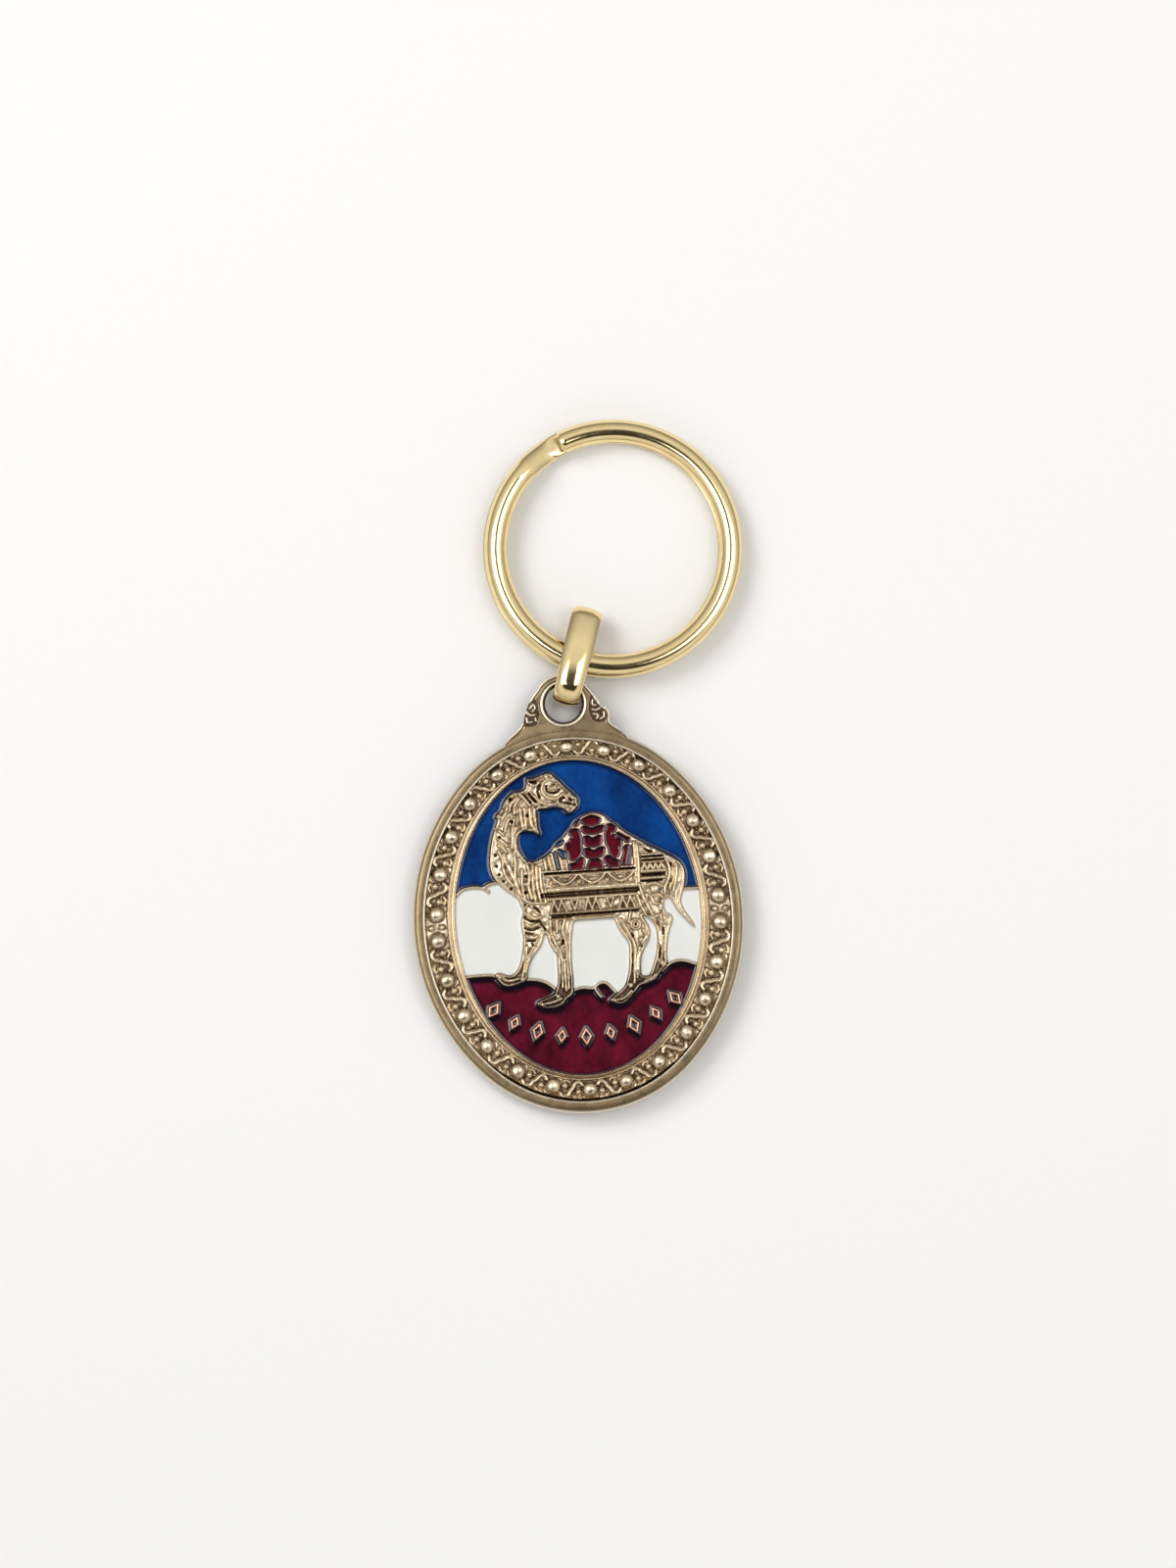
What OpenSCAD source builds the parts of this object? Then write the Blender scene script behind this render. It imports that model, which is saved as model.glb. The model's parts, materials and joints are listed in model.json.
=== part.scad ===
// Souvenir keychain: enamelled oval medal, flat connecting link and two-turn split ring.
// Lies flat: +Z is the medal's face, +Y runs to the lug, z = 0 is the medal's back face.

/* [Medal] */
// Width of the oval across X
medal_w = 38.4; // [36.8:0.4:40]
// Height of the oval along Y, without the lug
medal_h = 44.8; // [43.2:0.4:46.4]
// Thickness at the rim
medal_t = 3.0; // [3:0.1:3.4]
// Width of the smooth rim band
rim_w = 1.4; // [1.2:0.1:1.6]
// Rounding of the rim's upper outer edge
rim_round = 0.9; // [0.5:0.1:1]
// Rounding of the back's outer edge
back_round = 0.5; // [0.3:0.1:0.6]
// Floor height of the ornament channel
channel_z = 1.9; // [1.8:0.05:2.1]
// Radius of one boss
boss_r = 0.95; // [0.8:0.05:1.0]

/* [Enamel] */
// Floor height under the enamel
floor_z = 1.6; // [1.4:0.05:1.7]
// Height of the enamel surface
enamel_z = 2.2; // [2.1:0.05:2.3]
// Height of the cell walls
wall_z = 2.4; // [2.35:0.05:2.5]
// Height of the animal's relief
relief_z = 2.6; // [2.55:0.05:2.7]
// Width of the cell walls
wall_w = 0.32; // [0.28:0.02:0.36]

/* [Lug] */
// Radius of the lug's hole
hole_r = 2.3; // [2.2:0.05:2.35]
// Outer radius of the lug's eye
eye_r = 3.45; // [3.4:0.05:3.6]
// Thickness of the lug
lug_t = 1.3; // [1.1:0.05:1.35]

/* [Link] */
// Overall length of the link
link_len = 11.7; // [11.2:0.1:12.4]
// Width of the link's band
link_w = 3.2; // [2.8:0.1:3.3]
// Thickness of the link's band
link_t = 0.9; // [0.85:0.05:0.95]
// Height of the link at the lug
link_h = 5.5; // [5.4:0.05:5.7]
// Slope of the link's upper run, down towards the ring
link_slope = 12; // [8:0.5:12]
// Turn of the link away from +Y
link_yaw = 17.9; // [14:0.1:20]

/* [Split ring] */
// Outside diameter of the ring
ring_d = 30; // [29:0.5:32]
// Radial width of the wire
wire_w = 2.7; // [2.6:0.05:2.75]
// Gap between the two turns
slit = 0.1; // [0.06:0.02:0.14]
// Turn of the ring away from +Y, seen from the link
ring_yaw = 22.7; // [18:0.1:26]
// Angle of the upper turn's free end
end_angle = 113; // [100:1:130]
// Angle the wire takes to climb from one turn to the other
climb = 27; // [24:1:32]

/* [Hidden] */
$fn = 96;
seg = 120;
kx = medal_w / 38.4;
ky = medal_h / 44.8;
outer_a = medal_w / 2;
outer_b = medal_h / 2;
channel_a = outer_a - rim_w;
channel_b = outer_b - rim_w;
ridge_a = 14.95 * kx;
ridge_b = 18.75 * ky;
field_a = 14.25 * kx;
field_b = 18.3 * ky;
inner_y = 0.3 * ky;
oval_gap = outer_b - outer_a;
arc_shift = oval_gap * (2 + sqrt(2)) / 2;
path_a = (channel_a + ridge_a) / 2;
path_b = (channel_b + ridge_b) / 2;
hole_y = outer_b + 2.75;
lug_z0 = medal_t - 0.1 - lug_t;
link_ro = link_h / 2;
link_ri = link_ro - link_t;
link_taper = tan(link_slope / 2);
link_tip = (link_ro - link_taper * (link_len - link_ro)) / (1 - link_taper);
link_run = link_len - link_ro - link_tip;
link_dir = [sin(link_yaw), cos(link_yaw)];
pivot = [0, hole_y] + 2.62 * [sin(21.4), cos(21.4)];
ring_rm = ring_d / 2 - wire_w / 2;
wire_r = wire_w / 2;
ring_dir = [sin(ring_yaw), cos(ring_yaw)];
ring_lift = 1.15;
ring_gap = 1.35;
thread = pivot + (wire_r + ring_gap) * link_dir;
ring_xy = thread + ring_rm * ring_dir;
ring_tilt = asin(ring_lift / (2 * ring_rm));
ring_z = wire_r + ring_lift / 2;
gold = [0.66, 0.57, 0.40];
bright = [0.83, 0.74, 0.55];
blue = [0.03, 0.14, 0.48];
white = [0.93, 0.94, 0.92];
red = [0.38, 0.02, 0.06];
quarter_bosses = [4.5, 18, 31.5, 45, 60, 75];
boss_angles = [
    for (q = [0, 180])
        each concat([for (b = quarter_bosses) q + b], [q + 90], [for (b = [5 : -1 : 0]) q + 180 - quarter_bosses[b]])
];

// ---- helpers -------------------------------------------------------------------
function unit(v) = v / norm(v);
function fit(p) = [for (q = p) [q[0] * kx, q[1] * ky]];
function spline(a, b, c, d, t) = 0.5 * (2 * b + (c - a) * t
    + (2 * a - 5 * b + 4 * c - d) * t * t + (3 * b - a - 3 * c + d) * t * t * t);
function closed(p, n) = let (m = len(p)) [
    for (i = [0 : m - 1])
        for (j = [0 : n - 1])
            spline(p[(i + m - 1) % m], p[i], p[(i + 1) % m], p[(i + 2) % m], j / n)
];
function opened(p, n) = let (m = len(p)) concat([
    for (i = [0 : m - 2])
        for (j = [0 : n - 1])
            spline(p[max(i - 1, 0)], p[i], p[i + 1], p[min(i + 2, m - 1)], j / n)
], [p[m - 1]]);
function heading(p, i) = unit(p[min(i + 1, len(p) - 1)] - p[max(i - 1, 0)]);
function side(p, i, w) = p[i] + w * [-heading(p, i)[1], heading(p, i)[0]];
function stroke(p, w) = concat(
    [for (i = [0 : len(p) - 1]) side(p, i, w / 2)],
    [for (i = [len(p) - 1 : -1 : 0]) side(p, i, -w / 2)]
);
function oval(a, b, cy) = [
    for (i = [0 : seg - 1]) [a * cos(360 * i / seg), cy + b * sin(360 * i / seg)]
];
function backwards(p) = [for (i = [len(p) - 1 : -1 : 0]) p[i]];

module block(z0, z1) {
    translate([0, 0, z0])
        linear_extrude(height = z1 - z0)
            children();
}

// ---- drawn lines of the scene, in millimetres ------------------------------------
head_line = [
    [-4.95, 16.85], [-4.3, 16.8], [-3.6, 17.0], [-2.8, 17.3], [-2.2, 17.35], [-1.7, 16.9],
    [-1.0, 16.3], [-0.5, 15.65], [0.0, 15.15], [0.5, 14.65], [0.85, 14.2], [0.95, 13.8],
    [0.85, 13.3], [0.5, 12.85], [0.05, 12.5], [-0.35, 12.45], [-0.65, 12.7], [-0.95, 13.05],
    [-1.5, 13.2], [-2.3, 13.2], [-3.1, 13.15], [-3.7, 13.15]
];
beard_line = [
    [-3.88, 12.8], [-3.88, 12.2], [-3.9, 11.5], [-3.85, 10.9], [-3.7, 10.4], [-3.85, 10.15],
    [-4.2, 10.3], [-4.55, 10.55]
];
back_line = [
    [-5.1, 10.7], [-5.8, 10.65], [-6.2, 10.3], [-6.35, 9.8], [-6.35, 9.2], [-6.2, 8.6],
    [-5.95, 8.0], [-5.65, 7.5], [-5.2, 7.25], [-4.6, 7.2], [-4.0, 7.4], [-3.4, 7.7],
    [-2.9, 8.05], [-2.4, 8.5], [-2.0, 9.05], [-1.5, 9.4], [-1.05, 9.75], [-0.7, 10.2],
    [-0.2, 10.65], [0.1, 11.1], [0.4, 11.5], [0.9, 11.8], [1.5, 12.1], [2.1, 12.3],
    [2.85, 12.3], [3.4, 12.15], [3.9, 11.85], [4.25, 11.45], [4.6, 11.1], [5.05, 10.85],
    [5.4, 10.45], [5.8, 10.1], [6.3, 9.7], [7.0, 9.25], [7.8, 8.75], [8.6, 8.25],
    [9.4, 7.85], [10.1, 7.45], [10.8, 7.05], [11.4, 6.7], [12.0, 6.2], [12.45, 5.65],
    [12.7, 5.0], [12.75, 4.3], [12.65, 3.6], [12.45, 2.8], [12.15, 2.1]
];
tail_line = [
    [12.0, 1.4], [12.2, 0.7], [12.55, 0.0], [12.95, -0.65], [13.25, -1.15], [13.42, -1.65],
    [13.0, -1.4], [12.45, -0.75], [11.95, -0.15], [11.5, 0.45], [11.15, 1.1], [10.85, 1.7],
    [10.45, 1.95], [10.1, 1.7]
];
far_hind_line = [
    [10.02, 1.0], [10.1, 0.45], [10.4, 0.1], [10.8, -0.12], [10.92, -0.5], [10.8, -1.0],
    [10.55, -1.6], [10.3, -2.4], [10.12, -3.2], [10.0, -4.2], [9.95, -5.0], [10.0, -5.6],
    [9.7, -6.05], [9.3, -6.4], [8.95, -6.9], [8.6, -7.4], [8.0, -7.7], [7.4, -7.9],
    [6.95, -7.98], [6.6, -8.1]
];
near_hind_line = [
    [6.3, -8.45], [5.8, -9.0], [5.3, -9.5], [4.8, -9.9], [4.2, -10.05], [3.6, -9.93],
    [3.1, -9.68], [2.95, -9.4], [3.25, -9.15], [3.7, -8.85], [4.2, -8.5], [4.7, -8.05],
    [5.0, -7.55], [5.2, -7.0], [5.4, -6.3], [5.53, -5.5], [5.6, -4.5], [5.65, -3.6],
    [5.55, -2.9], [5.25, -2.35], [4.85, -1.75], [4.5, -1.05], [4.25, -0.45], [4.0, 0.0]
];
near_fore_line = [
    [3.0, 0.02], [1.0, 0.02], [-0.2, 0.0], [-0.55, -0.2], [-0.7, -0.7], [-0.8, -1.3],
    [-0.95, -2.1], [-1.02, -3.0], [-1.08, -4.0], [-1.1, -5.0], [-1.07, -6.0], [-1.05, -7.0],
    [-1.08, -7.7], [-1.1, -8.25], [-1.4, -8.7], [-1.9, -9.0], [-2.2, -9.4], [-2.6, -9.72],
    [-3.3, -9.93], [-4.1, -9.98], [-4.8, -9.85], [-5.3, -9.6], [-5.5, -9.32], [-5.35, -9.1],
    [-4.9, -8.87], [-4.2, -8.65], [-3.6, -8.4], [-3.3, -8.1], [-3.1, -7.6], [-2.87, -7.0],
    [-2.8, -6.0], [-2.8, -5.0], [-2.75, -4.1], [-2.88, -3.6], [-3.2, -3.1], [-3.5, -2.5],
    [-3.68, -1.95], [-3.78, -1.5], [-3.95, -1.3]
];
far_fore_line = [
    [-4.12, -1.55], [-4.3, -2.15], [-4.6, -2.7], [-5.0, -3.2], [-5.4, -3.7], [-5.8, -4.3],
    [-6.1, -5.0], [-6.25, -5.7], [-6.35, -6.3], [-6.7, -6.72], [-7.3, -6.88], [-7.9, -7.05],
    [-8.6, -7.15], [-9.2, -6.98], [-9.6, -6.6], [-9.9, -6.2], [-10.1, -5.75], [-9.9, -5.5],
    [-9.4, -5.5], [-8.9, -5.72], [-8.4, -5.85], [-8.0, -5.75], [-7.6, -5.4], [-7.25, -4.9],
    [-7.0, -4.2], [-6.8, -3.4], [-6.62, -2.5], [-6.55, -1.5], [-6.62, -0.7], [-6.68, 0.0],
    [-6.6, 0.6], [-6.4, 1.2], [-6.35, 1.75], [-6.6, 2.3]
];
chest_line = [
    [-6.85, 2.95], [-7.35, 3.4], [-7.9, 3.85], [-8.45, 4.3], [-8.9, 4.75], [-9.3, 5.2],
    [-9.6, 5.75], [-9.82, 6.5], [-9.86, 7.3], [-9.78, 8.1], [-9.66, 8.9], [-9.5, 9.7],
    [-9.3, 10.4], [-9.05, 11.1], [-8.8, 11.7], [-8.62, 12.2], [-8.85, 12.6], [-8.6, 12.95],
    [-8.2, 13.25], [-8.0, 13.65], [-7.88, 14.1], [-7.6, 14.5], [-7.2, 14.9], [-6.8, 15.27],
    [-6.4, 15.42], [-5.9, 15.4], [-5.4, 15.5], [-5.05, 15.85], [-5.0, 16.4]
];
animal_line = closed(fit(concat(head_line, beard_line, back_line, tail_line, far_hind_line,
    near_hind_line, near_fore_line, far_fore_line, chest_line)), 2);
hind_gap_line = [
    [7.5, -0.05], [8.0, -0.2], [8.5, -0.7], [8.85, -1.3], [8.95, -2.0], [8.95, -3.0],
    [8.85, -3.9], [8.6, -4.8], [8.3, -5.7], [7.95, -6.5], [7.7, -6.85], [7.3, -6.95],
    [6.9, -6.8], [6.85, -6.2], [6.9, -5.4], [7.05, -4.6], [7.45, -3.7], [7.9, -3.0],
    [8.15, -2.3], [8.2, -1.7], [8.0, -1.0], [7.7, -0.4]
];
left_cloud_wall = fit([
    [-14.6, 3.1], [-14.0, 3.75], [-13.5, 4.25], [-13.0, 4.52], [-12.2, 4.65], [-11.4, 4.6],
    [-10.8, 4.52], [-10.3, 4.75], [-9.7, 4.95], [-9.0, 5.0], [-8.6, 5.0]
]);
cloud_curl = fit([[-10.85, 4.55], [-10.4, 4.22], [-10.05, 3.95]]);
right_cloud_wall = fit([[12.2, 2.85], [13.2, 2.84], [14.6, 2.8]]);
left_ground_wall = fit([
    [-13.85, -5.69], [-13.3, -5.68], [-12.6, -5.66], [-11.8, -5.64], [-10.9, -5.66],
    [-10.1, -5.8], [-9.6, -6.1]
]);
mid_ground_wall = fit([
    [-6.9, -6.4], [-6.4, -6.45], [-5.8, -6.5], [-5.0, -6.65], [-4.3, -6.95], [-3.75, -7.3],
    [-3.3, -7.75], [-2.8, -8.3]
]);
rock_wall = fit([
    [-1.6, -8.2], [-1.0, -8.02], [-0.5, -7.9], [0.1, -7.85], [0.8, -7.95], [1.3, -7.95],
    [1.65, -7.65], [2.1, -7.42], [2.6, -7.45], [3.0, -7.75], [3.4, -8.25], [3.75, -8.7],
    [4.2, -9.0]
]);
rock_edge = fit([[1.35, -7.95], [1.55, -8.4], [1.85, -8.85], [2.15, -9.15]]);
right_ground_wall = fit([
    [9.2, -6.6], [9.6, -6.2], [10.0, -5.88], [10.5, -5.62], [11.1, -5.48], [11.8, -5.5],
    [12.5, -5.7], [13.1, -5.95], [13.7, -6.15]
]);

cell_walls = [left_cloud_wall, right_cloud_wall, left_ground_wall, mid_ground_wall,
    rock_wall, right_ground_wall, cloud_curl, rock_edge];

crown_cell = [[1.1, 11.45], [1.6, 11.78], [2.2, 11.97], [2.9, 11.83], [3.35, 11.5],
    [3.2, 11.15], [2.8, 10.98], [2.3, 10.85], [1.75, 10.98], [1.3, 11.15]];
upper_cell = [[1.08, 10.5], [1.3, 10.78], [1.7, 10.75], [2.3, 10.5], [2.9, 10.72],
    [3.45, 10.78], [3.75, 10.55], [3.55, 10.2], [3.0, 9.98], [2.3, 9.87], [1.6, 9.97],
    [1.2, 10.2]];
middle_cell = [[1.27, 9.45], [1.6, 9.66], [1.95, 9.55], [2.3, 9.33], [2.7, 9.52],
    [3.1, 9.62], [3.33, 9.4], [3.33, 8.85], [3.0, 8.52], [2.3, 8.37], [1.6, 8.52],
    [1.27, 8.9]];
lower_cell = [[1.15, 7.9], [1.4, 8.2], [1.9, 8.15], [2.3, 7.92], [2.8, 8.12], [3.3, 8.28],
    [3.6, 8.05], [3.55, 7.6], [3.25, 7.27], [2.6, 7.12], [2.0, 7.08], [1.42, 7.27],
    [1.18, 7.55]];
base_cell = [[1.42, 5.95], [2.3, 5.93], [3.28, 5.95], [3.15, 6.55], [2.75, 6.92],
    [2.2, 6.98], [1.85, 6.88], [1.6, 6.45]];
left_tip_cell = [[0.25, 10.98], [0.5, 11.35], [0.92, 11.62], [0.88, 11.25], [0.62, 10.98]];
left_cell = [[-0.4, 10.2], [-0.05, 10.5], [0.35, 10.6], [0.7, 10.4], [0.92, 10.0],
    [1.0, 9.5], [1.0, 8.8], [0.98, 8.0], [0.7, 7.4], [0.3, 7.08], [-0.15, 6.98],
    [-0.5, 7.2], [-0.58, 7.75], [-0.7, 8.05], [-0.98, 8.35], [-0.88, 8.82], [-0.45, 9.05],
    [-0.3, 9.38], [-0.05, 9.62], [-0.2, 9.85]];
left_base_cell = [[-0.55, 5.97], [0.1, 5.93], [0.85, 5.95], [1.12, 6.35], [1.18, 6.9],
    [0.9, 7.22], [0.5, 6.98], [0.1, 6.65], [-0.5, 6.5]];
right_cell = [[3.92, 10.2], [4.1, 10.75], [4.5, 10.88], [4.98, 10.55], [5.12, 10.2],
    [4.88, 9.98], [4.55, 9.8], [4.6, 9.58], [4.9, 9.58], [5.1, 9.15], [5.5, 9.05],
    [5.68, 8.7], [5.55, 8.3], [5.28, 8.1], [5.38, 7.6], [5.1, 7.15], [4.65, 7.05],
    [4.15, 7.5], [4.0, 8.2], [3.78, 8.7], [3.72, 9.3], [3.75, 9.85]];
right_tip_cell = [[5.05, 9.45], [5.18, 9.8], [5.5, 9.68], [6.05, 9.32], [6.6, 9.05],
    [6.5, 8.7], [6.1, 8.72], [5.65, 9.15]];
right_edge_cell = [[5.7, 7.9], [5.98, 8.2], [6.36, 8.3], [6.42, 7.8], [6.2, 7.1],
    [5.95, 6.2], [5.5, 6.2], [5.45, 6.6], [5.62, 7.0], [5.72, 7.45]];
right_base_cell = [[3.45, 6.9], [3.55, 6.5], [4.0, 6.0], [4.6, 5.93], [5.18, 5.97],
    [5.2, 6.4], [4.9, 6.7], [4.5, 6.85], [4.2, 7.12], [3.85, 7.2]];
right_sliver_cell = [[6.2, 6.1], [6.4, 6.1], [6.5, 6.7], [6.64, 7.5], [6.62, 8.1],
    [6.5, 7.5], [6.35, 6.8]];
blanket_upper = [[-2.1, 8.75], [-1.75, 9.12], [-1.25, 9.35], [-1.08, 9.28], [-1.3, 8.98],
    [-1.65, 8.78]];
blanket_lower = [[-1.82, 8.25], [-1.4, 8.22], [-0.95, 7.9], [-0.9, 7.5], [-1.15, 7.3],
    [-1.5, 7.55]];
blanket_sliver = [[-2.25, 8.0], [-2.1, 8.02], [-2.0, 7.4], [-1.9, 6.7], [-1.85, 6.1],
    [-2.02, 6.1], [-2.12, 6.7], [-2.2, 7.4]];
saddle_cells = [crown_cell, upper_cell, middle_cell, lower_cell, base_cell, left_tip_cell,
    left_cell, left_base_cell, right_cell, right_tip_cell, right_edge_cell, right_base_cell,
    right_sliver_cell, blanket_upper, blanket_lower, blanket_sliver];

module cell_2d(c) {
    polygon(closed(fit(c), 3));
}

module animal_2d() {
    difference() {
        polygon(animal_line);
        polygon(closed(fit(hind_gap_line), 3));
    }
}

module walls_2d() {
    for (w = cell_walls)
        polygon(stroke(opened(w, 3), wall_w));
}

module motif_2d(i) {
    tall = i % 2 == 0 ? 1.15 : 0.95;
    wide = i % 2 == 0 ? 0.72 : 0.6;
    difference() {
        polygon([[wide, 0], [0, tall], [-wide, 0], [0, -tall]]);
        polygon([[wide - 0.4, 0], [0, tall - 0.62], [0.4 - wide, 0], [0, 0.62 - tall]]);
    }
}

module motifs_2d() {
    for (i = [-4 : 4])
        translate([16.7 * kx * sin(9.8 * i), 3.2 - 16.7 * ky * cos(9.8 * i)])
            rotate(9.8 * i)
                motif_2d(i + 4);
}

module basins_2d() {
    difference() {
        polygon(oval(field_a, field_b, inner_y));
        animal_2d();
        walls_2d();
    }
}

module region_2d(mask) {
    intersection() {
        basins_2d();
        polygon(mask);
    }
}

module enamel(mask, c) {
    color(c)
        block(floor_z, enamel_z)
            region_2d(mask);
}

module cell(c, tint) {
    color(tint)
        block(floor_z, enamel_z + 0.1)
            cell_2d(c);
}

// ---- medal ----------------------------------------------------------------------
module puck_profile(r) {
    square([r - rim_round, medal_t]);
    translate([0, back_round])
        square([r, medal_t - rim_round - back_round]);
    square([r - back_round, back_round]);
    translate([r - rim_round, medal_t - rim_round])
        intersection() {
            circle(r = rim_round);
            square([rim_round, rim_round]);
        }
    translate([r - back_round, back_round])
        intersection() {
            circle(r = back_round);
            translate([0, -back_round])
                square([back_round, back_round]);
        }
}

module puck() {
    for (q = [0, 180]) {
        rotate(q)
            translate([0, arc_shift, 0])
                rotate_extrude(angle = 90, start = 45)
                    puck_profile(outer_b - arc_shift);
        rotate(q)
            translate([-arc_shift, 0, 0])
                rotate_extrude(angle = 90, start = -45)
                    puck_profile(outer_a + arc_shift);
    }
}

module eye_profile() {
    translate([hole_r, 0.3])
        square([0.4, lug_t - 0.6]);
    for (z = [0.3, lug_t - 0.3])
        translate([hole_r + 0.3, z])
            circle(r = 0.3);
    for (z = [0.45, lug_t - 0.45])
        translate([eye_r - 0.45, z])
            circle(r = 0.45);
    translate([hole_r + 0.3, 0])
        square([eye_r - hole_r - 0.75, lug_t]);
    translate([eye_r - 0.6, 0.45])
        square([0.6, lug_t - 0.9]);
}

module lug() {
    translate([0, hole_y, lug_z0])
        rotate_extrude()
            eye_profile();
    translate([0, hole_y, medal_t - 0.3])
        linear_extrude(height = 0.35)
            difference() {
                circle(r = hole_r + 0.75);
                circle(r = hole_r + 0.3);
            }
    block(lug_z0, medal_t - 0.1)
        translate([0, hole_y - 25.15])
            difference() {
                polygon([[-6.6, 20.4], [-5.5, 22.3], [-4.95, 23.1], [-4.55, 24.1],
                    [-4.15, 25.1], [-3.7, 25.9], [-3.0, 26.6], [3.0, 26.6], [3.7, 25.9],
                    [4.15, 25.1], [4.3, 24.7], [4.85, 24.45], [5.2, 24.0], [5.3, 23.4],
                    [5.1, 22.8], [5.5, 22.3], [6.6, 20.4]]);
                translate([0, 25.15])
                    circle(r = 3.0);
            }
}

module border_ornament() {
    count = len(boss_angles);
    for (i = [0 : count - 1]) {
        a = boss_angles[i];
        b = (a + boss_angles[(i + 1) % count] + (i == count - 1 ? 360 : 0)) / 2;
        translate([path_a * cos(a), 0.2 + path_b * sin(a), channel_z - 0.2])
            cylinder(r1 = boss_r, r2 = boss_r * 0.6, h = 0.8);
        if (abs(sin(b)) > 0.01)
            translate([path_a * cos(b), 0.2 + path_b * sin(b), channel_z - 0.2])
                rotate(b + 130)
                    translate([-0.85, -0.25, 0])
                        cube([1.7, 0.5, 0.65]);
    }
}

module medal_casting() {
    color(gold)
        difference() {
            union() {
                difference() {
                    puck();
                    block(channel_z, medal_t + 1)
                        polygon(oval(channel_a, channel_b, 0.2));
                    block(floor_z, medal_t + 1)
                        polygon(oval(field_a, field_b, inner_y));
                }
                block(channel_z - 0.15, relief_z - 0.1)
                    difference() {
                        polygon(oval(ridge_a, ridge_b, inner_y));
                        polygon(oval(field_a, field_b, inner_y));
                    }
                block(floor_z - 0.15, relief_z)
                    difference() {
                        animal_2d();
                        for (c = saddle_cells)
                            cell_2d(c);
                    }
                for (w = cell_walls)
                    block(floor_z - 0.15, wall_z)
                        polygon(stroke(opened(w, 3), wall_w));
                lug();
                border_ornament();
                block(floor_z - 0.15, wall_z)
                    motifs_2d();
            }
            translate([0, hole_y, -1])
                cylinder(r = hole_r, h = medal_t + 2);
        }
}

// ---- enamel ---------------------------------------------------------------------
module sky_enamel() {
    enamel(concat([[-16, 3.1]], left_cloud_wall, [[0, 5.5], [8, 4]], right_cloud_wall,
        [[16, 2.8], [16, 21], [-16, 21]]), blue);
}

module left_cloud_enamel() {
    enamel(concat([[-16, 3.1]], left_cloud_wall, [[-7, 4.6], [-5.2, 1], [-5.5, -1.6],
        [-6.0, -3.4], [-6.6, -5], [-6.9, -6.2]], backwards(left_ground_wall),
        [[-16, -5.7]]), white);
}

module foreleg_cloud_enamel() {
    enamel(concat([[-5.3, -1], [-3.5, -0.6], [-2.2, -3], [-1.9, -5]],
        backwards(mid_ground_wall), [[-6.6, -5], [-6, -3.4]]), white);
}

module belly_cloud_enamel() {
    enamel(concat([[-1.7, 0.6], [4.8, 0.6], [6, -2.5], [6.2, -5], [5.9, -7]],
        backwards(rock_wall), [[-1.9, -7], [-1.9, -3]]), white);
}

module hind_leg_cloud_enamel() {
    color(white)
        block(floor_z, enamel_z)
            polygon(closed(fit(hind_gap_line), 3));
}

module right_cloud_enamel() {
    enamel(concat([[9.5, 2.3], [11.6, 2.6]], right_cloud_wall, [[16, 2.8], [16, -6.3]],
        backwards(right_ground_wall), [[9.5, -5], [9.6, -2], [9.8, -0.2]]), white);
}

module ground_enamel() {
    color(red)
        block(floor_z, enamel_z)
            difference() {
                region_2d(concat([[-16, -5.7]], left_ground_wall, [[-8.4, -6.5]],
                    mid_ground_wall, rock_wall, [[5.6, -8.2], [7.1, -7.5]],
                    right_ground_wall, [[16, -6.3], [16, -20], [-16, -20]]));
                motifs_2d();
            }
}

module saddle_crown_cell() {
    cell(crown_cell, red);
}

module saddle_upper_cell() {
    cell(upper_cell, red);
}

module saddle_middle_cell() {
    cell(middle_cell, red);
}

module saddle_lower_cell() {
    cell(lower_cell, red);
}

module saddle_base_cell() {
    cell(base_cell, red);
}

module saddle_left_tip_cell() {
    cell(left_tip_cell, red);
}

module saddle_left_cell() {
    cell(left_cell, red);
}

module saddle_left_base_cell() {
    cell(left_base_cell, red);
}

module saddle_right_cell() {
    cell(right_cell, red);
}

module saddle_right_tip_cell() {
    cell(right_tip_cell, red);
}

module saddle_right_edge_cell() {
    cell(right_edge_cell, red);
}

module saddle_right_base_cell() {
    cell(right_base_cell, red);
}

module saddle_right_sliver_cell() {
    cell(right_sliver_cell, red);
}

module blanket_upper_cell() {
    cell(blanket_upper, blue);
}

module blanket_lower_cell() {
    cell(blanket_lower, blue);
}

module blanket_sliver_cell() {
    cell(blanket_sliver, blue);
}

// ---- link -----------------------------------------------------------------------
module link_profile() {
    sag = 0.5;
    dome = (link_w * link_w / 4 + sag * sag) / (2 * sag);
    intersection() {
        translate([link_ro - dome, 0])
            circle(r = dome, $fn = 200);
        union() {
            translate([link_ri + 0.3, -link_w / 2])
                square([link_t, link_w]);
            translate([link_ri, 0.3 - link_w / 2])
                square([link_t, link_w - 0.6]);
            for (z = [-1, 1])
                translate([link_ri + 0.3, z * (link_w / 2 - 0.3)])
                    circle(r = 0.3, $fn = 32);
        }
    }
}

module connecting_link() {
    color(bright)
        translate([pivot[0], pivot[1], link_ro])
            rotate([0, 0, 90 - link_yaw])
                rotate([90, 0, 0]) {
                    rotate_extrude(angle = 180 + link_slope, start = 90 - link_slope)
                        link_profile();
                    translate([link_run, link_tip - link_ro, 0])
                        rotate_extrude(angle = 180 - link_slope, start = -90)
                            translate([link_tip - link_ro, 0])
                                link_profile();
                    rotate([0, 90, 0])
                        linear_extrude(height = link_run)
                            rotate(-90)
                                link_profile();
                    rotate([0, 0, -link_slope])
                        rotate([0, 90, 0])
                            linear_extrude(height = link_run)
                                rotate(90)
                                    link_profile();
                }
}

// ---- ring -----------------------------------------------------------------------
module turn(up) {
    rotate_extrude(angle = 360 - climb, start = end_angle + climb, $fn = 144)
        translate([ring_rm, 0])
            intersection() {
                circle(r = wire_r, $fn = 48);
                translate([-2, up ? slit / 2 : -slit / 2 - 2])
                    square([4, 2]);
            }
}

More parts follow.
